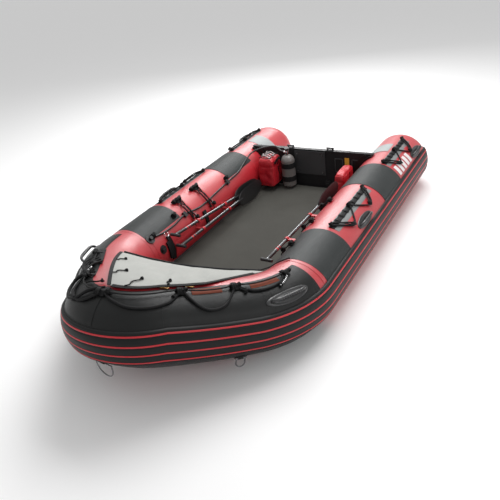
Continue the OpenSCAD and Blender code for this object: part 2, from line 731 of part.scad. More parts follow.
knob_z = valve_z + valve_h + 2;
module cylinder_knob() color("#1a1b1c") translate([bottle_x, bottle_y, knob_z]) difference() {
  union() {
    cylinder(20, 24, 24, $fn = round_fn);
    for (k = [0:4]) rotate([0, 0, 72 * k]) translate([21, 0, 0]) cylinder(20, 7, 7, $fn = round_fn);
  }
  translate([0, 0, -1]) cylinder(13, 5 + pin_gap, 5 + pin_gap, $fn = round_fn);
}

strap_w = 50;
module cylinder_straps() color("#111213") for (z = [floor_z + 80, floor_z + 215])
  translate([bottle_x, bottle_y, z]) difference() {
    union() {
      cylinder(strap_w, shoulder_r + 4, shoulder_r + 4, $fn = full_fn);
      translate([-shoulder_r - 11, -22, 0]) cube([30, 44, strap_w]);
    }
    translate([0, 0, -1]) cylinder(strap_w + 2, shoulder_r + 0.2, shoulder_r + 0.2, $fn = full_fn);
  }

hose_lift = hose_d / 2 + patch_t + 2;
function hose_on(dx, a) = let (p = on_side(bay_x + dx, a, r + hose_lift)) [p[0], -p[1], p[2]];
// Held along the tube by clips, then free over the bag to the valve's outlet.
hose_route = concat(
  [for (q = [[795, 135], [740, 138], [660, 141], [520, 142], [352, 139], [135, 146], [-110, 144],
    [-342, 141],
    [-560, 139], [-760, 130]]) hose_on(q[0], q[1])],
  [[bay_x - 880, -545, 500], [bay_x - 965, -440, 528], [bay_x - 995, -340, 530],
    [bottle_x, bottle_y - 70, outlet_z + 6], [bottle_x, bottle_y - 37, outlet_z]]);
module hose() color("#0f1011") cord(hose_route, hose_d, 10);

module hose_clip(dx, a) starboard() at_side(bay_x + dx, a, r + hair) difference() {
  translate([-16, -24, 0]) cube([32, 48, hose_lift + hose_d / 2 + 4]);
  translate([-17, 0, hose_lift - hair]) rotate([0, 90, 0]) cylinder(34, hose_d / 2 + 1, hose_d / 2 + 1,
    $fn = round_fn);
}
module hose_fittings() color("#1c1d1e") {
  hose_clip(352, 139);
  hose_clip(-342, 141);
  starboard() at_side(bay_x + 810, 135, r + patch_t + glue + hair) {
    cylinder(5, 40, 40, $fn = round_fn);
    cylinder(28, 15, 15, $fn = round_fn);
  }
}

/* Bags */

bag_x = transom_x + 28;
bag_y = -half + 256;
bag_z = floor_z + 30;
module bag_starboard() color("#b01f27") translate([bag_x, bag_y, bag_z]) intersection() {
  cube([bag_l, bag_w, bag_h]);
  translate([bag_l / 2, bag_w / 2, bag_h / 2]) sphere(bag_h * 0.62, $fn = full_fn);
}

port_bag_x = transom_x + 45;
port_bag_w = 115;
port_bag_y = half - 258 - port_bag_w;
module bag_port() color("#b01f27") translate([port_bag_x, port_bag_y, floor_z + 4]) cube([port_bag_l,
  port_bag_w, bag_h - 25]);

lash_w = 14;
module bag_lashings() color("#151617") {
  for (x = [60, bag_l - 60]) translate([bag_x + x, bag_y + 30, bag_z + bag_h + 1]) cube([lash_w,
    bag_w - 60, 10]);
  for (x = [90, port_bag_l - 90]) translate([port_bag_x + x, port_bag_y + port_bag_w - 40,
    floor_z + bag_h - 20])
    cube([lash_w, 48, 8]);
}

/* Paddles and their collars */

blade_t = 12;
upper_at = [bay_x + 640, -half + 285, 386];
upper_dip = 6.4;
lower_at = [bay_x + 640, -half + 322, 290];
lower_dip = 2.6;
port_at = [bay_x + 770, half - 283, 392];
port_dip = 1.6;

// A paddle lies along +z of its own frame, from the grip's end to the blade's end.
module paddle() {
  difference() {
    translate([0, 0, 20]) cylinder(paddle_l - blade_l + 60, shaft_d / 2, shaft_d / 2, $fn = round_fn);
    translate([0, 0, 40]) cylinder(paddle_l - blade_l - 80, shaft_d / 2 - 2, shaft_d / 2 - 2,
      $fn = round_fn);
  }
  rotate([90, 0, 0]) translate([0, 14, -45]) cylinder(90, 13, 13, $fn = round_fn);
  translate([-blade_t / 2, -blade_w / 2, paddle_l - blade_l + blade_w / 2])
    cube([blade_t, blade_w, blade_l - blade_w]);
  for (z = [paddle_l - blade_l + blade_w / 2, paddle_l - blade_w / 2]) translate([-blade_t / 2, 0, z])
    rotate([0, 90, 0]) cylinder(blade_t, blade_w / 2, blade_w / 2, $fn = round_fn);
}

// The paddle's axis runs aft from its grip, dipping towards the blade.
module on_paddle(p, dip) translate(p) rotate([0, -90 - dip, 0]) rotate([0, 0, 180]) children();
module paddle_upper() color("#aeb3b5") on_paddle(upper_at, dip = upper_dip) rotate([0, 0, 90]) paddle();
module paddle_lower() color("#aeb3b5") on_paddle(lower_at, dip = lower_dip) rotate([0, 0, 90]) paddle();
module paddle_port() color("#aeb3b5") on_paddle(port_at, dip = port_dip) rotate([0, 0, 90]) paddle();

collar_l = 28;
collar_t = 4;
collar_d = [330, 760];
module collar(reach, side) {
  difference() {
    union() {
      cylinder(collar_l, shaft_d / 2 + shaft_gap + collar_t, shaft_d / 2 + shaft_gap + collar_t,
        $fn = round_fn);
      translate([-6, side > 0 ? 0 : -reach, 0]) cube([12, reach, collar_l]);
    }
    translate([0, 0, -1]) cylinder(collar_l + 2, shaft_d / 2 + shaft_gap, shaft_d / 2 + shaft_gap,
      $fn = round_fn);
  }
}
module collars_at(p, dip, reach, side) for (d = collar_d) on_paddle(p, dip) translate([0, 0, d])
  collar(reach, side);
module paddle_collars() color("#8e1f24") difference() {
  union() {
    collars_at(upper_at, upper_dip, 90, 1);
    collars_at(lower_at, lower_dip, 110, 1);
    collars_at(port_at, port_dip, 90, -1);
  }
  for (y = [-half, half]) translate([dome_x, y, r]) rotate([0, 90, 0]) cylinder(side_l, r + 1, r + 1,
    $fn = full_fn);
}

/* Inflation valves */

cap_r = 21;
module valve_body(depth) difference() {
  union() {
    translate([0, 0, 0]) cylinder(4, valve_d / 2, valve_d / 2, $fn = round_fn);
    translate([0, 0, -depth]) cylinder(depth + 2, barrel_d / 2, barrel_d / 2, $fn = round_fn);
    cylinder(12, cap_r + 4, cap_r + 4, $fn = round_fn);
  }
  translate([0, 0, -8]) cylinder(40, cap_r - 5, cap_r - 5, $fn = round_fn);
  translate([0, 0, 5]) cylinder(20, cap_r + hair, cap_r + hair, $fn = round_fn);
}
module valve_cap() {
  translate([0, 0, 5 + hair]) cylinder(9, cap_r, cap_r, $fn = round_fn);
  translate([-cap_r + 3, -4, 14]) cube([2 * cap_r - 6, 8, 8]);
}
bow_valve_s = corner_s + limb_s * 1.2 + 2 * (half_s - corner_s - limb_s * 1.2);
bow_valve_a = 152;
module valve_bodies() color("#2a2c2e") {
  at_side(valve_x, valve_a, r + hair) valve_body(24);
  starboard() at_side(valve_x, valve_a, r + hair) valve_body(24);
  at_bow(bow_valve_s, bow_valve_a, r + 7) valve_body(3);
}
module valve_cap_port() color("#0f1011") at_side(valve_x, valve_a, r + hair) valve_cap();
module valve_cap_starboard() color("#0f1011") starboard() at_side(valve_x, valve_a, r + hair)
  valve_cap();
module valve_cap_bow() color("#0f1011") at_bow(bow_valve_s, bow_valve_a, r + 7) valve_cap();

tube_port();
tube_starboard();
bow_tube();
bulkheads();
bow_shield();
patches_port();
patches_starboard();
stern_bands();
strake_port();
strake_starboard();
strake_bow();
strake_lines();
hull_skin();
keel_tube();
floor_deck();
transom_board();
transom_holders();
transom_cleats();
motor_pads();
amber_tag();
drain_flange();
drain_plug();
lacing_strips();
lacing_ropes();
handle_port_mid();
handle_port_stern();
handle_port_bow();
handle_starboard_mid();
handle_starboard_stern();
handle_starboard_bow();
grab_line();
line_anchors();
bow_tags();
dodger();
dodger_hem();
dodger_hooks();
dodger_ties();
ring_patches();
stem_ring();
port_ring();
air_cylinder();
cylinder_valve();
cylinder_knob();
cylinder_straps();
hose();
hose_fittings();
bag_starboard();
bag_port();
bag_lashings();
paddle_upper();
paddle_lower();
paddle_port();
paddle_collars();
valve_bodies();
valve_cap_port();
valve_cap_starboard();
valve_cap_bow();
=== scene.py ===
"""Looks of the inflatable rescue dinghy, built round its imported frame."""

import logging
import math
from dataclasses import dataclass
from enum import Enum
from typing import Any, Callable, Sequence

import bmesh
import bpy
from mathutils import Matrix, Vector, noise


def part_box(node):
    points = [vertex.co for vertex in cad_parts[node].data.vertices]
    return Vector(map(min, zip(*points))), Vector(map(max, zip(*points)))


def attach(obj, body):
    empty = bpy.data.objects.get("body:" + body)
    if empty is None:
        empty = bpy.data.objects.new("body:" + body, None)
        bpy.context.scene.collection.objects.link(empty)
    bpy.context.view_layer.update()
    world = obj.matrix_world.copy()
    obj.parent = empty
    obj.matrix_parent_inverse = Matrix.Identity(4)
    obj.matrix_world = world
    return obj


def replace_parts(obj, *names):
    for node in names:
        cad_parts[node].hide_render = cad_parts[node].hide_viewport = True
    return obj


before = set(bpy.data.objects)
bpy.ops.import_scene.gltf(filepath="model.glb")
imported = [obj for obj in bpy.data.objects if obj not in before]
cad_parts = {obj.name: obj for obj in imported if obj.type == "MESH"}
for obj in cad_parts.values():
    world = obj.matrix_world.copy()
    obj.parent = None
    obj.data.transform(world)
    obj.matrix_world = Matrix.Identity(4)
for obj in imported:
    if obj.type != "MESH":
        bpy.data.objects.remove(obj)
LOG = logging.getLogger("dinghy")
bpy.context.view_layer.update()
HULL = "hull"
WELD = 1e-5


# ---------------------------------------------------------------- the hull's own lines


@dataclass(frozen=True)
class Station:
    """One place on the tubes' middle line.

    Attributes:
        point: the place, in metres.
        out: level direction out of the boat.
        up: direction square to the line and to out.
        along: direction of the line, from the port stern round the bow.
        radius: the tube's radius there.
    """

    point: Vector
    out: Vector
    up: Vector
    along: Vector
    radius: float


@dataclass(frozen=True)
class HullPath:
    """The tubes' middle line from the port stern round the bow to the starboard stern.

    Lengths along it are measured from the port corner.
    """

    radius: float = 0.25
    half: float = 0.735
    corner_x: float = 0.692
    corner_r: float = 0.682
    turn: float = math.radians(39.6)
    nose_r: float = 0.262
    sheer: float = 0.25
    power: float = 1.8
    side: float = 2.442
    dome_r: float = 0.25625
    dome_back: float = 0.05625

    @property
    def corner_s(self) -> float:
        """Length of a bow corner's arc."""
        return self.corner_r * self.turn

    @property
    def limb_y(self) -> float:
        """Distance from the middle plane where a limb starts."""
        return self.half - self.corner_r * (1 - math.cos(self.turn))

    @property
    def limb_s(self) -> float:
        """Length of a bow limb."""
        return (self.limb_y - self.nose_r * math.cos(self.turn)) / math.sin(self.turn)

    @property
    def half_s(self) -> float:
        """Length of the bow's line from a corner to the stem."""
        return self.corner_s + self.limb_s + self.nose_r * (math.pi / 2 - self.turn)

    @property
    def stem_dx(self) -> float:
        """Distance along X from the corners to the stem."""
        nose_x = self.corner_r * math.sin(self.turn) + self.limb_s * math.cos(self.turn)
        return nose_x - self.nose_r * math.sin(self.turn) + self.nose_r

    def plan(self, s: float) -> tuple[float, float, float]:
        """Gives a port place in plan.

        Args:
            s: length along the line, from the corner to the stem.
        Returns:
            x, y and the heading in radians.
        """
        if s <= 0:
            return self.corner_x + s, self.half, 0.0
        if s <= self.corner_s:
            turn = s / self.corner_r
            return (
                self.corner_x + self.corner_r * math.sin(turn),
                self.half - self.corner_r * (1 - math.cos(turn)),
                turn,
            )
        limb_x = self.corner_x + self.corner_r * math.sin(self.turn)
        if s <= self.corner_s + self.limb_s:
            run = s - self.corner_s
            return limb_x + run * math.cos(self.turn), self.limb_y - run * math.sin(self.turn), self.turn
        turn = self.turn + (s - self.corner_s - self.limb_s) / self.nose_r
        return (
            self.corner_x + self.stem_dx - self.nose_r + self.nose_r * math.sin(turn),
            self.nose_r * math.cos(turn),
            turn,
        )

    def at(self, s: float) -> Station:
        """Gives the station at a length along the line, which runs on into both stern domes."""
        if s > self.half_s:
            port = self.at(2 * self.half_s - s)
            flip = Vector((1, -1, 1))
            return Station(port.point * flip, port.out * flip, port.up * flip, -(port.along * flip), port.radius)
        x, y, turn = self.plan(s)
        t = max(0.0, (x - self.corner_x) / self.stem_dx)
        slope = self.sheer * self.power * t ** (self.power - 1) / self.stem_dx if t else 0.0
        pitch = math.atan(slope * math.cos(turn))
        out = Vector((math.sin(turn), math.cos(turn), 0))
        up = Vector((-math.cos(turn) * math.sin(pitch), math.sin(turn) * math.sin(pitch), math.cos(pitch)))
        past = max(0.0, -self.side - s) + self.dome_back
        radius = self.radius
        if s < -self.side:
            radius = math.sqrt(max(self.dome_r**2 - past**2, 1e-6))
        point = Vector((x, y, self.radius + self.sheer * t**self.power))
        return Station(point, out, up, up.cross(out) * -1, radius)

    def on(self, s: float, angle: float, lift: float = 0.0) -> Vector:
        """Gives a point on or above the tube.

        Args:
            s: length along the line.
            angle: degrees above level, 0 outboard, 90 on top and 180 inboard.
            lift: height above the tube's skin.
        Returns:
            The point in metres.
        """
        st = self.at(s)
        a = math.radians(angle)
        return st.point + (st.radius + lift) * (math.cos(a) * st.out + math.sin(a) * st.up)

    def side_s(self, x: float) -> float:
        """Length along the line of a place on the port side tube."""
        return x - self.corner_x

    def mirror_s(self, s: float) -> float:
        """The same place on the starboard half."""
        return 2 * self.half_s - s

    def star_s(self, x: float) -> float:
        """Length along the line of a place on the starboard side tube."""
        return self.mirror_s(self.side_s(x))


PATH = HullPath()


def spread(lo: float, hi: float, steps: int) -> list[float]:
    """Gives evenly spaced values from lo to hi."""
    return [lo + (hi - lo) * i / steps for i in range(steps + 1)]


def smooth_step(value: float) -> float:
    """Eases a value from 0 to 1."""
    value = min(max(value, 0.0), 1.0)
    return value * value * (3 - 2 * value)


def ripple(point: Vector, size: float, seed: float = 0.0) -> float:
    """Gives soft noise from -1 to 1 at a point, with features of a size in metres."""
    return noise.noise(point / size + Vector((seed, -seed, seed)))


# ---------------------------------------------------------------- materials


@dataclass(frozen=True)
class Wire:
    """A socket's value, with arithmetic that adds Math nodes."""

    sheet: "MaterialSheet"
    socket: Any

    def _maths(self, operation: str, first: Any, second: Any) -> "Wire":
        """Adds one Math node and gives its value."""
        return self.sheet.add("ShaderNodeMath", {"operation": operation}, {0: first, 1: second})

    def __add__(self, other: Any) -> "Wire":
        """Adds."""
        return self._maths("ADD", self, other)

    __radd__ = __add__

    def __mul__(self, other: Any) -> "Wire":
        """Multiplies."""
        return self._maths("MULTIPLY", self, other)

    __rmul__ = __mul__

    def sine(self) -> "Wire":
        """Gives the sine."""
        return self._maths("SINE", self, 0.0)


class MaterialSheet:
    """A material's node tree, filled by one method."""

    def __init__(self, name: str) -> None:
        """Starts an empty material with its shader and output."""
        self.material = bpy.data.materials.new(name)
        self.material.use_nodes = True
        self.tree = self.material.node_tree
        self.shader = self.tree.nodes["Principled BSDF"]

    def add(self, kind: str, settings: dict[str, Any], inputs: dict[Any, Any], output: Any = 0) -> Wire:
        """Adds a node.

        Args:
            kind: the node's type.
            settings: its own settings, set first.
            inputs: values or wires of its sockets.
            output: the socket to give back.
        Returns:
            The output's value.
        """
        node = self.tree.nodes.new(kind)
        for key, value in settings.items():
            if key == "stops":
                ramp = node.color_ramp
                for k, (place, color) in enumerate(value):
                    stop = ramp.elements[k] if k < 2 else ramp.elements.new(place)
                    stop.position = place
                    stop.color = (*color, 1.0)
            else:
                setattr(node, key, value)
        for key, value in inputs.items():
            if isinstance(value, Wire):
                self.tree.links.new(value.socket, node.inputs[key])
            else:
                node.inputs[key].default_value = value
        return Wire(self, node.outputs[output])

    def place(self, uv: bool) -> Wire:
        """Gives the piece's own coordinates, UV in metres or Object."""
        return self.add("ShaderNodeTexCoord", {}, {}, "UV" if uv else "Object")

    def split(self, where: Wire) -> list[Wire]:
        """Gives the three parts of a place."""
        node = self.add("ShaderNodeSeparateXYZ", {}, {0: where}).socket.node
        return [Wire(self, out) for out in node.outputs]

    def cloud(self, where: Wire, scale: float, detail: float = 3.0, rough: float = 0.5) -> Wire:
        """Gives soft noise."""
        return self.add(
            "ShaderNodeTexNoise", {}, {"Vector": where, "Scale": scale, "Detail": detail, "Roughness": rough}, "Fac"
        )

    def blend(self, factor: Any, first: Any, second: Any) -> Wire:
        """Mixes two colours."""
        return self.add("ShaderNodeMix", {"data_type": "RGBA"}, {0: factor, 6: first, 7: second}, 2)

    def join(self, socket: str, value: Any) -> None:
        """Sets or links a socket of the shader."""
        if isinstance(value, Wire):
            self.tree.links.new(value.socket, self.shader.inputs[socket])
        else:
            self.shader.inputs[socket].default_value = value

    def bump(self, height: Wire, strength: float, distance: float) -> None:
        """Adds relief."""
        self.join(
            "Normal",
            self.add("ShaderNodeBump", {}, {"Height": height, "Strength": strength, "Distance": distance}, "Normal"),
        )


class Surface(Enum):
    """The kinds of relief that finishes have."""

    COATED = "coated cloth"
    RUBBER = "moulded rubber"
    CLOTH = "woven cloth"
    ROPE = "laid rope"
    MAT = "ribbed mat"
    METAL = "drawn metal"
    PLASTIC = "grained plastic"


@dataclass(frozen=True)
class Finish:
    """One finish: its colours, gloss and relief.

    Attributes:
        slot: the record's slot that it belongs to; not used.
        color: main colour.
        shade: colour of worn or dusty places.
        gloss: roughness.
        relief: the kind of relief.
        depth: strength of the relief.
        metal: whether it is a metal.
        coat: weight of a clear coat.
        uv: whether the relief follows the piece's own UV map.
        wear: how much of the shade shows.
        shine: strength of its plain reflections.
    """

    slot: str
    color: tuple[float, float, float]
    shade: tuple[float, float, float]
    gloss: float = 0.45
    relief: Surface = Surface.COATED
    depth: float = 0.3
    metal: bool = False
    coat: float = 0.0
    uv: bool = False
    wear: float = 0.5
    shine: float = 0.5

    def weave(self, sheet: MaterialSheet, where: Wire, pitch: float) -> Wire:
        """Gives crossed threads of a pitch in metres."""
        x, y, z = sheet.split(where)
        turns = 2 * math.pi / pitch
        across = (x * turns).sine()
        over = ((y + z) * turns).sine()
        return across * over

    def height(self, sheet: MaterialSheet, where: Wire) -> Wire:
        """Gives the relief's height for the kind of surface."""
        if self.relief is Surface.ROPE:
            x, y, _ = sheet.split(where)
            twist = x * 95.0 + y * 3.0
            return (twist * (2 * math.pi)).sine() * 0.5 + sheet.cloud(where, 900.0, 1.0) * 0.3
        if self.relief is Surface.MAT:
            x, y, _ = sheet.split(where)
            ribs = (x * 520.0).sine() * (y * 520.0).sine()
            return ribs * 0.6 + sheet.cloud(where, 260.0, 2.0)
        if self.relief is Surface.CLOTH:
            return self.weave(sheet, where, 0.0016) * 0.5 + sheet.cloud(where, 35.0, 4.0) * 2.0
        if self.relief is Surface.METAL:
            long = sheet.add("ShaderNodeMapping", {}, {"Vector": where, "Scale": (3.0, 90.0, 90.0)}, "Vector")
            return sheet.cloud(long, 12.0, 3.0)
        if self.relief is Surface.PLASTIC:
            return sheet.cloud(where, 700.0, 2.0)
        if self.relief is Surface.RUBBER:
            return sheet.cloud(where, 420.0, 2.0) * 0.6 + sheet.cloud(where, 16.0, 3.0) * 3.0
        return self.weave(sheet, where, 0.0022) * 0.25 + sheet.cloud(where, 9.0, 3.0) * 7.0

    def make(self, name: str) -> bpy.types.Material:
        """Builds the material.

        Args:
            name: the material's name.
        Returns:
            The material.
        """
        sheet = MaterialSheet(name)
        body = sheet.place(False)
        where = sheet.place(True) if self.uv else body
        stains = sheet.cloud(body, 3.2, 5.0, 0.6)
        specks = sheet.cloud(body, 150.0, 2.0)
        mask = sheet.add(
            "ShaderNodeValToRGB",
            {"stops": ((0.42, (0, 0, 0)), (0.78, (1, 1, 1)))},
            {"Fac": stains * 0.75 + specks * 0.25},
            "Color",
        )
        tone = sheet.blend(mask * self.wear, (*self.color, 1.0), (*self.shade, 1.0))
        sheet.join("Base Color", tone)
        sheet.join("Roughness", self.gloss - 0.06 + stains * 0.12 + specks * 0.06)
        sheet.join("Metallic", 1.0 if self.metal else 0.0)
        sheet.join("Coat Weight", self.coat)
        sheet.shader.inputs["Coat Roughness"].default_value = 0.36
        sheet.shader.inputs["Specular IOR Level"].default_value = self.shine
        sheet.bump(self.height(sheet, where), self.depth, 0.001)
        return sheet.material


FINISHES = {
    "red": Finish("hull_red", (0.40, 0.011, 0.019), (0.48, 0.040, 0.045), 0.38, Surface.COATED, 0.35, coat=0.9),
    # painted shade: grey for the sheet beside the lacing strips, standing in for the ropes' shade on the tube
    "rope_shade": Finish("light_grey_patch", (0.15, 0.16, 0.16), (0.24, 0.25, 0.25), 0.5, Surface.COATED, 0.4),
    "bow_black": Finish("black_rubber_fabric", (0.0045, 0.0050, 0.0050), (0.013, 0.014, 0.014), 0.38, Surface.COATED,
                        0.40, shine=0.30),
    "charcoal": Finish("charcoal_patch", (0.017, 0.020, 0.020), (0.036, 0.040, 0.040), 0.48, Surface.COATED, 0.5,
                       shine=0.35),
    "light_grey": Finish("light_grey_patch", (0.28, 0.30, 0.30), (0.36, 0.38, 0.38), 0.5, Surface.COATED, 0.4),
    "strake": Finish("strake_rubber", (0.0045, 0.0048, 0.0050), (0.012, 0.012, 0.013), 0.46, Surface.RUBBER, 0.20,
                     shine=0.25),
    "line_red": Finish("line_red", (0.50, 0.010, 0.020), (0.58, 0.04, 0.045), 0.38, Surface.RUBBER, 0.2),
    "bottom": Finish("bottom_skin", (0.018, 0.018, 0.020), (0.035, 0.035, 0.036), 0.6, Surface.COATED, 0.4),
    "mat": Finish("floor_grey", (0.052, 0.051, 0.045), (0.080, 0.079, 0.070), 0.85, Surface.MAT, 0.6, shine=0.2),
    "board": Finish("transom_black", (0.008, 0.008, 0.009), (0.020, 0.020, 0.021), 0.55, Surface.PLASTIC, 0.35,
                    shine=0.3),
    "plastic": Finish("black_plastic", (0.010, 0.010, 0.011), (0.022, 0.022, 0.023), 0.38, Surface.PLASTIC, 0.3),
    "pad": Finish("pad_grey", (0.030, 0.031, 0.033), (0.050, 0.051, 0.052), 0.5, Surface.PLASTIC, 0.5),
    "amber": Finish("amber", (0.62, 0.33, 0.035), (0.70, 0.42, 0.08), 0.35, Surface.PLASTIC, 0.2),
    "rope": Finish("black_rope", (0.004, 0.004, 0.0045), (0.012, 0.012, 0.013), 0.62, Surface.ROPE, 0.8,
                   uv=True, shine=0.25),
    "webbing": Finish("black_rope", (0.006, 0.006, 0.0065), (0.016, 0.016, 0.017), 0.6, Surface.CLOTH, 0.6, shine=0.25),
    "rust": Finish("rust_tag", (0.150, 0.026, 0.008), (0.22, 0.050, 0.020), 0.6, Surface.COATED, 0.3, shine=0.2),
    "cover": Finish("cover_grey", (0.36, 0.365, 0.345), (0.46, 0.465, 0.44), 0.70, Surface.CLOTH, 0.5, shine=0.3),
    "brass": Finish("brass", (0.30, 0.17, 0.06), (0.20, 0.10, 0.04), 0.42, Surface.METAL, 0.2, metal=True),
    "steel": Finish("steel", (0.22, 0.22, 0.23), (0.12, 0.12, 0.13), 0.30, Surface.METAL, 0.2, metal=True),
    "bottle": Finish("bottle_grey", (0.13, 0.12, 0.115), (0.22, 0.20, 0.19), 0.34, Surface.METAL, 0.15, coat=0.4),
    "bright": Finish("bright_metal", (0.74, 0.74, 0.75), (0.55, 0.55, 0.56), 0.16, Surface.METAL, 0.15, metal=True),
    "hose": Finish("hose_rubber", (0.010, 0.010, 0.011), (0.024, 0.024, 0.025), 0.36, Surface.RUBBER, 0.2),
    "bag": Finish("bag_red", (0.42, 0.008, 0.018), (0.52, 0.030, 0.036), 0.40, Surface.CLOTH, 0.45, coat=0.2),
    "paddle": Finish("paddle_metal", (0.16, 0.165, 0.17), (0.09, 0.095, 0.10), 0.24, Surface.METAL, 0.25, metal=True),
    "blade": Finish("paddle_metal", (0.014, 0.014, 0.015), (0.03, 0.03, 0.031), 0.4, Surface.PLASTIC, 0.3),
    "collar": Finish("collar_red", (0.40, 0.015, 0.022), (0.48, 0.04, 0.045), 0.36, Surface.PLASTIC, 0.2),
    "handle": Finish("handle_rubber", (0.006, 0.006, 0.007), (0.020, 0.020, 0.022), 0.30, Surface.RUBBER, 0.3,
                     coat=0.6),
    "stripe": Finish("light_grey_patch", (0.62, 0.60, 0.60), (0.70, 0.68, 0.68), 0.5, Surface.COATED, 0.3),
    "grey_cloth": Finish("grey_fabric", (0.035, 0.037, 0.040), (0.06, 0.062, 0.065), 0.6, Surface.COATED, 0.4),
}
MATERIALS: dict[str, bpy.types.Material] = {}


def material(name: str) -> bpy.types.Material:
    """Gives a finish's material, and builds it once."""
    if name not in MATERIALS:
        MATERIALS[name] = FINISHES[name].make(name)
    return MATERIALS[name]


# ---------------------------------------------------------------- making meshes


def link_object(name: str, data: Any) -> bpy.types.Object:
    """Adds an object with its data to the scene."""
    made = bpy.data.objects.new(name, data)
    bpy.context.scene.collection.objects.link(made)
    return made


def settle(name: str, bm: bmesh.types.BMesh, finish: str, sharp: float = 0.7, body: str = HULL) -> bpy.types.Object:
    """Turns a bmesh into a piece that rides on a body.

    Args:
        name: the piece's name.
        bm: its mesh, which is freed.
        finish: the finish's name.
        sharp: angle in radians past which an edge stays sharp.
        body: the body it rides on.
    Returns:
        The piece.
    """
    bmesh.ops.remove_doubles(bm, verts=bm.verts, dist=WELD)
    bmesh.ops.recalc_face_normals(bm, faces=bm.faces)
    for face in bm.faces:
        face.smooth = True
    for edge in bm.edges:
        if len(edge.link_faces) == 2:
            edge.smooth = edge.calc_face_angle(0.0) < sharp
    mesh = bpy.data.meshes.new(name)
    bm.to_mesh(mesh)
    bm.free()
    piece = link_object(name, mesh)
    piece.data.materials.append(material(finish))
    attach(piece, body)
    LOG.info("%s: %d faces", name, len(mesh.polygons))
    return piece


def grid(
    bm: bmesh.types.BMesh,
    nu: int,
    nv: int,
    place: Callable[[float, float], Vector],
    metric: tuple[float, float] = (1.0, 1.0),
) -> list[bmesh.types.BMVert]:
    """Adds a grid and moves each of its points to its place.

    Args:
        bm: the mesh to add to.
        nu: steps along the first way.
        nv: steps along the second way.
        place: gives a point for two values from 0 to 1.
        metric: real lengths of the two ways, for the UV map.
    Returns:
        The grid's points.
    """
    uv = bm.loops.layers.uv.verify()
    made = bmesh.ops.create_grid(bm, x_segments=nu, y_segments=nv, size=0.5)["verts"]
    spots = {v: (v.co.x + 0.5, v.co.y + 0.5) for v in made}
    for vert, (u, v) in spots.items():
        for loop in vert.link_loops:
            loop[uv].uv = (u * metric[0], v * metric[1])
    for vert, (u, v) in spots.items():
        vert.co = place(u, v)
    return made


def close_ends(bm: bmesh.types.BMesh) -> None:
    """Fills each open rim of a mesh with one face."""
    bmesh.ops.remove_doubles(bm, verts=bm.verts, dist=WELD)
    rims = [e for e in bm.edges if len(e.link_faces) == 1]
    if rims:
        bmesh.ops.edgeloop_fill(bm, edges=rims)


def merge(bm: bmesh.types.BMesh, part: bmesh.types.BMesh) -> None:
    """Adds one mesh to another and frees it.

    Args:
        bm: the mesh to add to.
        part: the mesh that is added and freed.
    """
    spare = bpy.data.meshes.new("part")
    part.to_mesh(spare)
    part.free()
    bm.from_mesh(spare)
    bpy.data.meshes.remove(spare)


def pick(values: Sequence[float], t: float) -> float:
    """Reads a list at a share of its length."""
    place = t * (len(values) - 1)
    i = min(int(place), len(values) - 2)
    return values[i] + (values[i + 1] - values[i]) * (place - i)


def band(
    bm: bmesh.types.BMesh,
    stations: Sequence[float],
    outline: Sequence[tuple[float, float]],
    relief: Callable[[float, float], float] | None = None,
) -> None:
    """Adds a closed band along the tube.

    Args:
        bm: the mesh to add to.
        stations: lengths along the hull's line.
        outline: angle in degrees and height above the skin, round the band.
        relief: extra height for a length and an angle.
    """
    angles = [a for a, _ in outline] + [outline[0][0]]
    lifts = [h for _, h in outline] + [outline[0][1]]

    def place(u: float, v: float) -> Vector:
        """Puts a point of the band on the tube."""
        s, a, h = pick(stations, u), pick(angles, v), pick(lifts, v)
        return PATH.on(s, a, h + (relief(s, a) if relief else 0.0))

    part = bmesh.new()
    grid(part, len(stations) - 1, len(outline), place, (abs(stations[-1] - stations[0]), 0.6))
    close_ends(part)
    merge(bm, part)


def sheet_outline(a0: float, a1: float, thick: float, steps: int, base: float = 0.0003) -> list[tuple[float, float]]:
    """Gives a thin band's outline with softened edges, between two angles."""
    top = [(a0 + (a1 - a0) * i / steps, base + thick) for i in range(steps + 1)]
    top[0] = (a0, base + thick * 0.35)
    top[-1] = (a1, base + thick * 0.35)
    under = [(a1 + (a0 - a1) * i / steps, base) for i in range(steps + 1)]
    return top + under


def spline(points: Sequence[Vector], step: float, closed: bool = False) -> list[Vector]:
    """Runs a smooth curve through points.

    Args:
        points: the points to pass.
        step: about how far apart the new points are.
        closed: whether it comes back to its start.
    Returns:
        The points of the curve.
    """
    pts = [Vector(p) for p in points]
    n = len(pts)
    made: list[Vector] = []
    for i in range(n if closed else n - 1):
        p1, p2 = pts[i], pts[(i + 1) % n]
        p0 = pts[i - 1] if closed or i else p1 * 2 - p2
        p3 = pts[(i + 2) % n] if closed or i + 2 < n else p2 * 2 - p1
        steps = max(2, round((p2 - p1).length / step))
        for k in range(steps):
            t = k / steps
            bend = 2 * p0 - 5 * p1 + 4 * p2 - p3
            made.append(0.5 * (2 * p1 + (p2 - p0) * t + bend * t**2 + (3 * p1 - p0 - 3 * p2 + p3) * t**3))
    if not closed:
        made.append(pts[-1])
    return made


def run(line: Sequence[Vector]) -> float:
    """Gives the length of a line through points."""
    return sum((b - a).length for a, b in zip(line, line[1:]))


def heading(line: Sequence[Vector], i: int) -> Vector:
    """Gives a line's direction at one of its points."""
    return (line[min(i + 1, len(line) - 1)] - line[max(i - 1, 0)]).normalized()


def circle(steps: int) -> list[float]:
    """Gives evenly spaced angles once round."""
    return [2 * math.pi * k / steps for k in range(steps)]


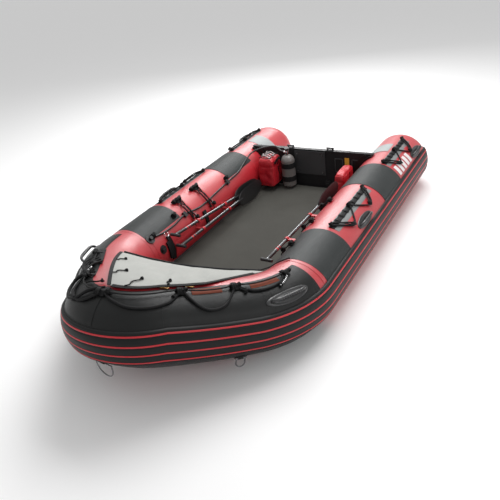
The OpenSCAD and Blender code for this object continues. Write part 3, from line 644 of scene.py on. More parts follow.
def cord(
    bm: bmesh.types.BMesh,
    points: Sequence[Vector],
    thick: float,
    sides: int = 8,
    step: float = 0.012,
    closed: bool = False,
) -> list[Vector]:
    """Adds a round cord through points.

    Args:
        bm: the mesh to add to.
        points: the points it passes.
        thick: its diameter.
        sides: faces round it.
        step: length of its pieces.
        closed: whether it is a ring.
    Returns:
        The middle line.
    """
    line = spline(points, step, closed)
    if closed:
        line.append(line[0])
    length = run(line)
    ways = [heading(line, i) for i in range(len(line))]
    if closed:
        ways[0] = ways[-1] = (line[1] - line[-2]).normalized()
    side = ways[0].orthogonal().normalized()
    frames = []
    for way in ways:
        side = (side - way * side.dot(way)).normalized()
        frames.append((side, way.cross(side)))

    def place(u: float, v: float) -> Vector:
        """Puts a point of the cord's skin."""
        i = round(u * (len(line) - 1))
        a, b = frames[i]
        turn = 2 * math.pi * v
        return line[i] + thick / 2 * (math.cos(turn) * a + math.sin(turn) * b)

    part = bmesh.new()
    grid(part, len(line) - 1, sides, place, (length, 1.0))
    if not closed:
        close_ends(part)
    merge(bm, part)
    return line


def knot(bm: bmesh.types.BMesh, centre: Vector, way: Vector, thick: float, turns: float = 2.2) -> None:
    """Adds a few turns of cord round a point, as a knot."""
    way = way.normalized()
    a = way.orthogonal().normalized()
    b = way.cross(a)
    coil = []
    for i in range(int(turns * 8) + 1):
        t = i / 8
        turn = 2 * math.pi * t
        reach = thick * (0.85 + 0.15 * math.sin(3 * turn))
        coil.append(centre + reach * (math.cos(turn) * a + math.sin(turn) * b) + way * thick * 0.75 * (t - turns / 2))
    cord(bm, coil, thick, 6, thick)


def webbing(
    bm: bmesh.types.BMesh,
    points: Sequence[Vector],
    normals: Sequence[Vector],
    wide: float,
    thick: float,
    step: float = 0.02,
) -> None:
    """Adds a flat strap through points, whose face looks along the normals."""
    line = spline(points, step)
    faces = spline([p * 1.0 for p in normals], 0.2)

    def place(u: float, v: float) -> Vector:
        """Puts a point of the strap's skin."""
        i = round(u * (len(line) - 1))
        way = heading(line, i)
        up = faces[min(round(u * (len(faces) - 1)), len(faces) - 1)].normalized()
        up = (up - way * up.dot(way)).normalized()
        side = way.cross(up)
        corner = [(-1, -0.3), (-0.94, 1), (0, 1.25), (0.94, 1), (1, -0.3), (0.94, -1), (-0.94, -1), (-1, -0.3)]
        k = round(v * 7)
        return line[i] + side * corner[k][0] * wide / 2 + up * corner[k][1] * thick / 2

    part = bmesh.new()
    grid(part, len(line) - 1, 7, place, (1.0, wide))
    close_ends(part)
    merge(bm, part)


def disc_on_tube(
    bm: bmesh.types.BMesh, s: float, angle: float, reach: tuple[float, float], thick: float, lift: float
) -> None:
    """Adds an oval patch that follows the tube, with a raised rim."""
    rings = [0.0, 0.5, 0.80, 0.86, 0.93, 1.0, 1.0]
    lifts = [1.0, 1.0, 1.0, 1.25, 1.1, 0.6, 0.0]

    def place(u: float, v: float) -> Vector:
        """Puts a point of the patch."""
        k = round(u * (len(rings) - 1))
        turn = 2 * math.pi * v
        ds = reach[0] * rings[k] * math.cos(turn)
        da = math.degrees(reach[1] * rings[k] * math.sin(turn) / PATH.radius)
        return PATH.on(s + ds, angle + da, lift + thick * lifts[k])

    grid(bm, len(rings) - 1, 28, place, (reach[0], reach[1]))


# ---------------------------------------------------------------- the pieces


@dataclass
class Tubes:
    """The two side tubes and the bow tube, their seams, patches and bands."""

    seam_t: float = 0.0012
    seam_w: float = 0.045
    patch_t: float = 0.0024
    patch_low: float = 27.0
    patch_high: float = 137.0
    shield_t: float = 0.0024
    shield_from: float = 0.085
    shield_high: float = 89.0
    rim_from: float = 0.12
    around: int = 96
    bow_tapes: tuple[tuple[float, float], ...] = ((0.300, 0.014), (0.335, 0.014), (0.825, 0.010), (1.0, 0.020))
    patch_l: float = 0.445
    patch_spots: tuple[float, ...] = (0.247, -1.001)
    band_ends: tuple[float, ...] = (-1.49, -1.30)
    stripe_x: float = -1.405
    stripe_step: float = 0.078
    stripe_l: float = 0.052

    def slack(self, s: float, angle: float) -> float:
        """Gives the skin's slight waves."""
        where = PATH.on(s, angle)
        return 0.0012 * ripple(where, 0.30, 3.0) + 0.0006 * ripple(where, 0.09, 7.0)

    def tube(self, name: str, stations: Sequence[float], closed_stern: bool) -> bpy.types.Object:
        """Builds one length of tube skin.

        Args:
            name: the piece's name.
            stations: lengths along the hull's line.
            closed_stern: whether it ends in a dome.
        Returns:
            The piece.
        """
        bm = bmesh.new()

        def place(u: float, v: float) -> Vector:
            """Puts a point of the tube's skin."""
            s = stations[round(u * (len(stations) - 1))]
            return PATH.on(s, 360 * v - 90, -0.0006 + 0.5 * self.slack(s, 360 * v - 90))

        grid(bm, len(stations) - 1, self.around, place, (abs(stations[-1] - stations[0]), 2 * math.pi * PATH.radius))
        if closed_stern:
            close_ends(bm)
        return settle(name, bm, "red", 1.2)

    def seams(self) -> None:
        """Builds the glued tapes over the tubes' joints, red on the sides and dark on the bow."""
        red, dark = bmesh.new(), bmesh.new()
        for place in (0.012, -0.048, PATH.side_s(-0.998), PATH.side_s(-1.49)):
            for at in (place, PATH.mirror_s(place)):
                ends = spread(at - self.seam_w / 2, at + self.seam_w / 2, 2)
                band(red, ends, sheet_outline(31, 180, self.seam_t, 24, 0.0002))
        for share, wide in self.bow_tapes:
            for at in {PATH.half_s * share, PATH.half_s * (2 - share)}:
                ends = spread(at - wide / 2, at + wide / 2, 2)
                band(dark, ends, sheet_outline(31, self.shield_high - 3, self.seam_t, 16, self.shield_t + 0.0004))
        edge = self.shield_high - 4.5
        rim = spread(self.rim_from, PATH.mirror_s(self.rim_from), 90)
        band(dark, rim, sheet_outline(edge - 1.5, edge + 1.5, self.seam_t, 3, self.shield_t + 0.0004))
        settle("seam_tapes", red, "red")
        settle("bow_seam_tapes", dark, "bow_black")

    def patches(self, name: str, node: str, starboard: bool) -> None:
        """Builds the dark wear patches over one side tube."""
        bm = bmesh.new()
        for x0 in self.patch_spots:
            ends = [PATH.side_s(x0), PATH.side_s(x0 + self.patch_l)]
            if starboard:
                ends = [PATH.mirror_s(e) for e in ends]
            band(bm, spread(ends[0], ends[1], 12), sheet_outline(self.patch_low, self.patch_high, self.patch_t, 30))
        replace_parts(settle(name, bm, "charcoal"), node)

    def bands(self) -> None:
        """Builds the light bands near the stern and the plain stripes on the port one."""
        bm = bmesh.new()
        for side in (PATH.side_s, PATH.star_s):
            s0, s1 = (side(x) for x in self.band_ends)
            band(bm, spread(s0, s1, 6), sheet_outline(88, 150, 0.002, 16))
        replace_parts(settle("stern_band_skins", bm, "light_grey"), "stern_bands")
        stripes = bmesh.new()
        for k in range(5):
            x0 = PATH.side_s(self.stripe_x + self.stripe_step * k)
            band(stripes, spread(x0, x0 + self.stripe_l, 3), sheet_outline(34, 56, 0.001, 6, 0.0004))
        settle("stern_stripes", stripes, "stripe")

    def shield(self) -> None:
        """Builds the dark skin over the outside of the bow."""
        bm = bmesh.new()
        stations = spread(self.shield_from, PATH.mirror_s(self.shield_from), 90)
        band(bm, stations, sheet_outline(26, self.shield_high, self.shield_t, 20), self.slack)
        lows = spread(0.0, PATH.mirror_s(0.0), 90)
        band(bm, lows, sheet_outline(-80, -22, self.shield_t, 16), self.slack)
        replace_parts(settle("bow_shield_skin", bm, "bow_black"), "bow_shield")

    def build(self) -> None:
        """Builds all the skins."""
        dome = [-PATH.side - PATH.dome_r * math.cos(math.radians(a)) + PATH.dome_back for a in spread(4, 77, 16)]
        port = dome + spread(-PATH.side, 0.0, 60)
        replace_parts(self.tube("port_tube_skin", port, True), "tube_port")
        starboard = [PATH.mirror_s(s) for s in port]
        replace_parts(self.tube("starboard_tube_skin", starboard, True), "tube_starboard")
        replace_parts(self.tube("bow_tube_skin", spread(0.0, 2 * PATH.half_s, 110), False), "bow_tube")
        self.patches("port_patch_skins", "patches_port", False)
        self.patches("starboard_patch_skins", "patches_starboard", True)
        self.bands()
        self.shield()
        self.seams()


@dataclass
class Strake:
    """The ribbed rubbing strake round the whole boat, with its coloured lines."""

    low: float = -25.0
    high: float = 29.5
    flat: float = 0.017
    rib: float = 0.0018
    lines: tuple[float, ...] = (22.6, 9.2, -4.2, -17.6)
    line_turn: float = 2.4

    def stations(self) -> list[float]:
        """Gives the strake's stations, which wrap both stern domes."""
        start = -PATH.side - 0.10
        side = [start, start + 0.02, start + 0.04, start + 0.06] + spread(-PATH.side, 0.0, 24)
        bow = spread(0.0, 2 * PATH.half_s, 110)[1:-1]
        return side + bow + [PATH.mirror_s(s) for s in reversed(side)]

    def profile(self) -> list[tuple[float, float]]:
        """Gives the outline: rounded ribs between the flats that carry the lines."""
        steps = 72
        top = []
        for i in range(steps + 1):
            a = self.low + (self.high - self.low) * i / steps
            near = min(abs(a - line) for line in self.lines)
            height = self.flat + self.rib * smooth_step((near - 2.0) / 1.4)
            edge = min(a - self.low, self.high - a) / 3.2
            top.append((a, 0.0005 + height * math.sqrt(min(1.0, max(edge, 0.0))) if edge < 1 else height + 0.0005))
        under = [(self.high + (self.low - self.high) * i / 12, 0.0005) for i in range(13)]
        return top + under

    def build(self) -> None:
        """Builds the strake and its lines."""
        bm = bmesh.new()
        band(bm, self.stations(), self.profile())
        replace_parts(settle("rubbing_strake", bm, "strake", 0.6), "strake_port", "strake_starboard", "strake_bow")
        lines = bmesh.new()
        for a in self.lines:
            half = self.line_turn / 2
            outline = [(a - half, self.flat + 0.0012), (a - half * 0.7, self.flat + 0.0030)]
            outline += [(a + half * 0.7, self.flat + 0.0030), (a + half, self.flat + 0.0012)]
            band(lines, self.stations(), outline)
        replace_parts(settle("strake_colour_lines", lines, "line_red", 0.9), "strake_lines")


@dataclass
class Lacing:
    """The lacing strips on the side tubes and the black rope laced through them."""

    strip_a: float = 76.0
    tip_a: float = 50.0
    rope: float = 0.013
    loops: int = 9
    fronts: tuple[tuple[float, float], ...] = ((-0.514, 0.719), (-1.640, 0.618))

    def strips(self) -> None:
        """Builds the four strips with their sewn loops, and beside each a grey sheet of painted shade under the ropes.
        """
        bm, rope_shade = bmesh.new(), bmesh.new()
        for x0, reach in self.fronts:
            for side in (PATH.side_s, PATH.star_s):
                s0, s1 = side(x0), side(x0 + reach)
                band(bm, spread(s0, s1, 12), sheet_outline(self.strip_a - 5.0, self.strip_a + 5.0, 0.0048, 6))
                for k in range(self.loops):
                    s = s0 + (s1 - s0) * (k + 0.5) / self.loops
                    low, high = PATH.on(s, self.strip_a - 5.4, 0.004), PATH.on(s, self.strip_a + 5.4, 0.004)
                    mid = PATH.on(s, self.strip_a, 0.013)
                    up = (mid - PATH.at(s).point).normalized()
                    webbing(bm, [low, mid, high], [up, up, up], 0.030, 0.003, 0.012)
                # A grey sheet beside each strip: painted shade where the ropes shade the tube.
                band(rope_shade, spread(s0, s1, 12), sheet_outline(self.strip_a - 14, self.strip_a + 7, 0.0012, 8, 0.0002))
        settle("lacing_rope_shade", rope_shade, "rope_shade")
        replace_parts(settle("lacing_strip_skins", bm, "webbing"), "lacing_strips")

    def ropes(self) -> None:
        """Builds the ropes: outer loops down to their tips, crossed at the strip, with knots."""
        bm = bmesh.new()
        for x0, reach in self.fronts:
            for side in (PATH.side_s, PATH.star_s):

                def at(f: float, a: float, lift: float) -> Vector:
                    """Puts a point of the rope on the tube."""
                    return PATH.on(side(x0 + reach * f), a, lift)

                for lo, hi in ((0.02, 0.5), (0.98, 0.5)):
                    way = 1 if hi > lo else -1
                    tip = (lo + hi) / 2 - 0.02 * way
                    cord(
                        bm,
                        [at(lo, 78, 0.016), at(lo + 0.05 * way, 70, 0.013), at(tip - 0.03 * way, 51, 0.010),
                         at(tip + 0.005 * way, self.tip_a, 0.010), at(tip + 0.045 * way, 50, 0.010),
                         at(hi - 0.05 * way, 69, 0.012), at(hi, 77, 0.018)],
                        self.rope,
                    )
                    cord(
                        bm,
                        [at(lo + 0.02 * way, 82, 0.014), at(lo + 0.16 * way, 62, 0.016),
                         at(tip + 0.02 * way, 52, 0.014), at(tip + 0.02 * way, 47.5, 0.018),
                         at(tip - 0.04 * way, 53, 0.020), at(lo + 0.10 * way, 66, 0.024),
                         at(lo + 0.03 * way, 80, 0.022)],
                        self.rope * 0.85,
                    )
                    knot(bm, at(lo + 0.01 * way, 80, 0.020), at(lo, 60, 0) - at(lo, 80, 0), self.rope)
                    knot(bm, at(tip + 0.005 * way, self.tip_a + 2, 0.014), at(tip, 60, 0) - at(tip, 40, 0), self.rope)
                knot(bm, at(0.5, 78, 0.022), at(0.6, 78, 0) - at(0.5, 78, 0), self.rope, 3.0)
        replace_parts(settle("lacing_rope_loops", bm, "rope", 1.2), "lacing_ropes")

    def build(self) -> None:
        """Builds the strips and ropes."""
        self.strips()
        self.ropes()


@dataclass
class CarryHandle:
    """One moulded rubber handle: an oval base that follows the tube, and a grip over it."""

    name: str
    node: str
    s: float
    angle: float
    lift: float = 0.0004
    length: float = 0.275
    width: float = 0.084
    base_t: float = 0.0062
    grip: float = 0.021
    grip_lift: float = 0.037
    ribs: int = 9

    def build(self) -> None:
        """Builds the base and the grip as one moulding."""
        bm = bmesh.new()
        disc_on_tube(bm, self.s, self.angle, (self.length / 2, self.width / 2), self.base_t, self.lift)
        close_ends(bm)
        inner = bmesh.new()
        well = (self.length * 0.36, self.width * 0.27)
        disc_on_tube(inner, self.s, self.angle, well, 0.0015, self.lift + self.base_t)
        close_ends(inner)
        merge(bm, inner)
        half = (self.length - self.width) / 2
        rise = [0.002, 0.018, 0.032, self.grip_lift]
        heights = rise + rise[::-1]
        shares = [-1.12, -1.08, -0.92, -0.6, 0.6, 0.92, 1.08, 1.12]
        path = [PATH.on(self.s + half * f, self.angle, self.lift + h) for f, h in zip(shares, heights)]
        cord(bm, path, self.grip, 12, 0.01)
        for k in range(self.ribs):
            s = self.s + half * 0.62 * (k - 4) / 4
            st = PATH.at(s)
            middle = PATH.on(s, self.angle, self.lift + self.grip_lift)
            over = st.out.cross(st.along)
            ring = [middle + 0.0112 * (math.cos(t) * over + math.sin(t) * st.out) for t in circle(10)]
            cord(bm, ring, 0.0035, 5, 0.008, closed=True)
        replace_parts(settle(self.name, bm, "handle", 0.9), self.node)


@dataclass
class GrabLine:
    """The line round the bow, its anchors, knots and swags."""

    thick: float = 0.017
    thin: float = 0.010
    bead_r: float = 0.0062
    anchor_a: float = 80.0
    lift: float = 0.0034
    shares: tuple[float, ...] = (0.17, 0.46, 0.73, 0.995, 1.17, 1.42, 1.62)
    sags: tuple[float, ...] = (66.0, 47.0, 58.0, 56.0, 62.0, 64.0)

    def anchors(self) -> None:
        """Builds the anchor patches and their folded loops."""
        bm = bmesh.new()
        for share in self.shares:
            s = PATH.half_s * share
            disc_on_tube(bm, s, self.anchor_a + 3, (0.034, 0.030), 0.003, self.lift)
            close_ends(bm)
            up = (PATH.on(s, self.anchor_a, 0.01) - PATH.at(s).point).normalized()
            spots = ((10, 0.004), (4, 0.014), (-2, 0.026), (-7, 0.006))
            ends = [PATH.on(s, self.anchor_a + d, self.lift + h) for d, h in spots]
            webbing(bm, ends, [up] * 4, 0.034, 0.003, 0.01)
        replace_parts(settle("line_anchor_patches", bm, "webbing"), "line_anchors")

    def route(self, drop: float, lift: float) -> list[Vector]:
        """Gives the line's way from anchor to anchor.

        Args:
            drop: share of each swag's full depth.
            lift: height above the skin.
        Returns:
            The points it passes.
        """
        spots = [PATH.half_s * f for f in self.shares]
        points: list[Vector] = []
        for i, s in enumerate(spots):
            points.append(PATH.on(s, self.anchor_a - 2, self.lift + lift + 0.006))
            if i < len(self.sags):
                gap = spots[i + 1] - s
                for f, depth in ((0.12, 0.42), (0.28, 0.85), (0.5, 1.0), (0.7, 0.88), (0.88, 0.45)):
                    a = self.anchor_a + (self.sags[i] - self.anchor_a) * depth * drop
                    points.append(PATH.on(s + gap * f, a, self.lift + lift))
        return points

    def build(self) -> None:
        """Builds the anchors, the main line, the lighter line, tails, knots and the big loop."""
        self.anchors()
        rope = bmesh.new()
        line = cord(rope, self.route(1.0, 0.009), self.thick, 9, 0.014)
        LOG.info("grab line is %.2f m long", run(line))
        cord(rope, self.route(0.12, 0.018), self.thin, 7, 0.014)
        for share in self.shares:
            s = PATH.half_s * share
            knot(rope, PATH.on(s + 0.016, self.anchor_a - 3, self.lift + 0.018), PATH.at(s).along, self.thick, 2.5)
            knot(rope, PATH.on(s - 0.022, self.anchor_a - 1, self.lift + 0.022), PATH.at(s).out, 0.013, 2.0)
        start = PATH.half_s
        loop = ((0.00, 86, 0.016), (0.05, 74, 0.022), (0.09, 58, 0.014), (0.15, 49, 0.012), (0.22, 50, 0.014),
                (0.26, 62, 0.020), (0.24, 76, 0.024), (0.19, 86, 0.018))
        cord(rope, [PATH.on(start + d, a, self.lift + h) for d, a, h in loop], 0.020, 9, 0.012)
        for share, drop, way in ((0.19, 16.0, 1), (0.47, 12.0, -1), (0.72, 11.0, 1), (1.02, 22.0, 1), (1.10, -16.0, -1),
                                 (1.19, 24.0, 1), (1.30, 18.0, -1), (1.44, 22.0, 1), (1.60, 20.0, -1)):
            s = PATH.half_s * share
            tail = [PATH.on(s + 0.024 * k * way, self.anchor_a - drop * k / 3, self.lift + 0.010 + 0.006 * (k % 2))
                    for k in range(4)]
            cord(rope, tail, self.thin, 7, 0.012)
            knot(rope, tail[-1], tail[-1] - tail[-2], self.thin, 1.6)
        self.shoulder(rope)
        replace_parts(settle("bow_grab_line", rope, "rope", 1.2), "grab_line")
        self.beads()
        self.tags()

    def shoulder(self, rope: bmesh.types.BMesh) -> None:
        """Adds the bundle of line that lies over the starboard shoulder."""
        for k in range(4):
            s0, s1 = PATH.half_s * (1.20 + 0.05 * k), PATH.half_s * (1.42 + 0.05 * k)
            points = [
                PATH.on(s0, 88 - 3 * k, self.lift + 0.012),
                PATH.on(s0 + (s1 - s0) * 0.3, 74 - 4 * k, self.lift + 0.020),
                PATH.on(s0 + (s1 - s0) * 0.7, 80 - 5 * k, self.lift + 0.026),
                PATH.on(s1, 92 - 4 * k, self.lift + 0.012),
            ]
            cord(rope, points, 0.013, 8, 0.014)

    def beads(self) -> None:
        """Builds the short bright chain over the port corner and the longer one to starboard."""
        bm = bmesh.new()
        for k in range(10):
            self.bead(bm, 0.205 + 0.013 * k, 79 - 2.6 * k + 0.10 * k * k)
        for k in range(14):
            self.bead(bm, PATH.half_s * 1.26 + 0.018 * k, 70 + 9 * math.sin(0.35 * k))
        settle("bright_bead_chain", bm, "bright")

    def bead(self, bm: bmesh.types.BMesh, s: float, angle: float) -> None:
        """Adds one bead on the tube."""
        made = bmesh.ops.create_icosphere(bm, subdivisions=2, radius=self.bead_r)["verts"]
        bmesh.ops.translate(bm, verts=made, vec=PATH.on(s, angle, 0.021))

    def tags(self) -> None:
        """Builds the rust-brown tags along the bow's top."""
        bm = bmesh.new()
        for share in (0.23, 0.53):
            s = PATH.half_s * share
            band(bm, spread(s, s + 0.195, 8), sheet_outline(73, 84, 0.0018, 6, 0.0038))
        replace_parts(settle("bow_tag_skins", bm, "rust"), "bow_tags")


@dataclass
class SprayCover:
    """The light cloth cover over the bow, with its dark hem and ties."""

    aft_port: tuple[float, float, float] = (0.840, 0.560, 0.464)
    aft_starboard: tuple[float, float, float] = (1.046, -0.487, 0.548)
    crest_from: float = 0.60
    crest_to: float = 1.0
    lift: float = 0.0125
    cut: float = 0.30
    bow_aft: float = 0.045
    thick: float = 0.0016

    def aft(self, u: float) -> Vector:
        """Gives the aft edge at a share of its width, from port to starboard."""
        base = Vector(self.aft_port).lerp(Vector(self.aft_starboard), u)
        belly = math.sin(math.pi * u)
        return base + Vector((self.bow_aft * belly, 0, -0.014 * belly))

    def crest(self, t: float) -> Vector:
        """Gives the fore edge where it lies along the bow's top."""
        share = self.crest_from + (self.crest_to - self.crest_from) * t
        return PATH.on(PATH.half_s * share, 93, self.lift)

    def fore(self, u: float) -> Vector:
        """Gives the whole fore edge from port to starboard."""
        if u < self.cut:
            return (Vector(self.aft_port) + Vector((0.012, 0, 0.003))).lerp(self.crest(0), u / self.cut)
        return self.crest((u - self.cut) / (1 - self.cut))

    def place(self, u: float, v: float) -> Vector:
        """Gives a point of the cloth, with its creases."""
        a, f = self.aft(u), self.fore(u)
        z = a.z + (f.z - a.z) * math.sin(math.pi / 2 * v)
        base = Vector((a.x + (f.x - a.x) * v, a.y + (f.y - a.y) * v, z))
        hold = math.sin(math.pi * min(max(u, 0.0), 1.0)) ** 0.5 * min(1.0, 5 * v * (1 - v) + 0.12)
        fan = math.sin(22 * u + 5 * v + 2.2 * ripple(base, 0.35, 2.0)) * 0.008 * (1 - v) ** 0.6
        pull = ripple(Vector((base.x * 1.2 + base.y, base.y * 4 - base.x, 0)), 0.26, 5.0) * 0.013
        small = ripple(base, 0.07, 9.0) * 0.0028
        return base + Vector((0, 0, 1)) * hold * (fan + pull + small)

    def build(self) -> None:
        """Builds the cover, its hem and its ties."""
        bm = bmesh.new()
        grid(bm, 90, 60, self.place, (1.2, 0.7))
        bmesh.ops.remove_doubles(bm, verts=bm.verts, dist=WELD)
        area = sum(f.calc_area() for f in bm.faces)
        piece = settle("spray_cover_cloth", bm, "cover", 1.5)
        solid = piece.modifiers.new("cloth thickness", "SOLIDIFY")
        solid.thickness = self.thick
        solid.offset = 0.0
        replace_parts(piece, "dodger")
        self.hem()
        self.ties()
        LOG.info("spray cover holds %.3f square metres", area)

    def hem(self) -> None:
        """Builds the dark hem and the tapes along the fore and side edges."""
        bm = bmesh.new()
        line = [self.place(0.02 + 0.96 * i / 14, 0.0) + Vector((-0.006, 0, 0.002)) for i in range(15)]
        cord(bm, line, 0.017, 10, 0.02)
        edge = [self.place(u, 1.0) + Vector((0, 0, 0.003)) for u in spread(0.05, 0.98, 24)]
        webbing(bm, edge, [Vector((0, 0, 1))] * 25, 0.026, 0.003, 0.03)
        side = [self.place(1.0, v) + Vector((0, 0, 0.003)) for v in spread(0.0, 1.0, 8)]
        webbing(bm, side, [Vector((0, 0.3, 1))] * 9, 0.024, 0.003, 0.03)
        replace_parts(settle("spray_cover_hem", bm, "webbing", 0.9), "dodger_hem")

    def ties(self) -> None:
        """Builds the ties that lie over the cloth and run to the bow."""
        bm = bmesh.new()
        up = Vector((0, 0, 0.008))
        for u0, v0, u1, v1 in ((0.62, 0.99, 0.60, 0.90), (0.90, 0.99, 0.80, 0.86), (0.985, 0.80, 0.90, 0.70),
                               (0.99, 0.45, 0.93, 0.36)):
            pts = []
            for t in spread(0, 1, 5):
                swing = Vector((0, 0.012 * math.sin(9 * t), 0))
                pts.append(self.place(u0 + (u1 - u0) * t, v0 + (v1 - v0) * t) + up + swing)
            cord(bm, pts, 0.008, 7, 0.012)
            knot(bm, pts[-1], pts[-1] - pts[-2], 0.008, 2.0)
        tail = [self.place(0.02, 0.1) + up, self.place(0.0, 0.0) + Vector((-0.04, 0.03, 0.016))]
        tail += [PATH.on(s, a, 0.010) for s, a in ((0.09, 118), (0.04, 108), (0.0, 100))]
        cord(bm, tail, 0.010, 7, 0.012)
        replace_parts(settle("spray_cover_ties", bm, "rope", 1.2), "dodger_ties")


@dataclass
class Bag:
    """A stuffed gear bag: a full soft box with piping, a flap's crease and a zip."""

    name: str
    node: str
    low: Vector
    high: Vector
    puff: float = 0.020
    round_by: float = 5.5
    pipe_at: float = 0.985

    def shape(self, p: Vector) -> Vector:
        """Rounds a point of a cube from -1 to 1 into the stuffed form, in metres."""
        mid = (self.low + self.high) / 2
        half = (self.high - self.low) / 2
        power = self.round_by
        reach = (abs(p.x) ** power + abs(p.y) ** power + abs(p.z) ** power) ** (1 / power)
        q = p / max(reach, 1e-6)
        low = 0.5 - 0.5 * q.z
        q = Vector((q.x * (0.93 + 0.07 * low), q.y * (0.90 + 0.10 * low), q.z))
        base = mid + Vector((q.x * half.x, q.y * half.y, q.z * half.z))
        dent = self.puff * (0.6 * ripple(base, 0.16, 4.0) + 0.35 * ripple(base, 0.06, 8.0)) - self.puff * 0.5
        crease = -0.006 * max(0.0, 1 - abs(q.z - 0.45) / 0.06)
        return base + (base - mid).normalized() * (dent + crease)

    def build(self) -> None:
        """Builds the bag's skin and its piping."""
        bm = bmesh.new()
        bmesh.ops.create_cube(bm, size=2.0)
        bmesh.ops.subdivide_edges(bm, edges=bm.edges[:], cuts=34, use_grid_fill=True)
        for vert in bm.verts:
            vert.co = self.shape(vert.co.copy())
        piece = settle(self.name, bm, "bag", 1.5)
        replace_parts(piece, self.node)
        trim = bmesh.new()
        for z in (0.86, -0.86):
            ring = [self.shape(Vector((x, y, z))) for x, y in self.round_box()]
            cord(trim, [r + Vector((0, 0, 0.001)) for r in ring], 0.006, 6, 0.02, closed=True)
        for x in (-0.96, 0.96):
            loop = [self.shape(Vector((x, y, z))) for y, z in self.round_box()]
            cord(trim, loop, 0.007, 6, 0.02, closed=True)
        settle(self.name + "_piping", trim, "line_red")
        zips = bmesh.new()
        for shift in (-0.30, -0.22):
            line = [self.shape(Vector((shift, 1, z))) + Vector((0, 0.001, 0)) for z in spread(-0.9, 0.9, 8)]
            cord(zips, line, 0.004, 6, 0.02)
        settle(self.name + "_zip", zips, "webbing")

    def round_box(self) -> list[tuple[float, float]]:
        """Gives points round a square with cut corners."""
        k = self.pipe_at
        return [(k, 0), (k, 0.8), (0.8, k), (0, k), (-0.8, k), (-k, 0.8),
                (-k, 0), (-k, -0.8), (-0.8, -k), (0, -k), (0.8, -k), (k, -0.8)]


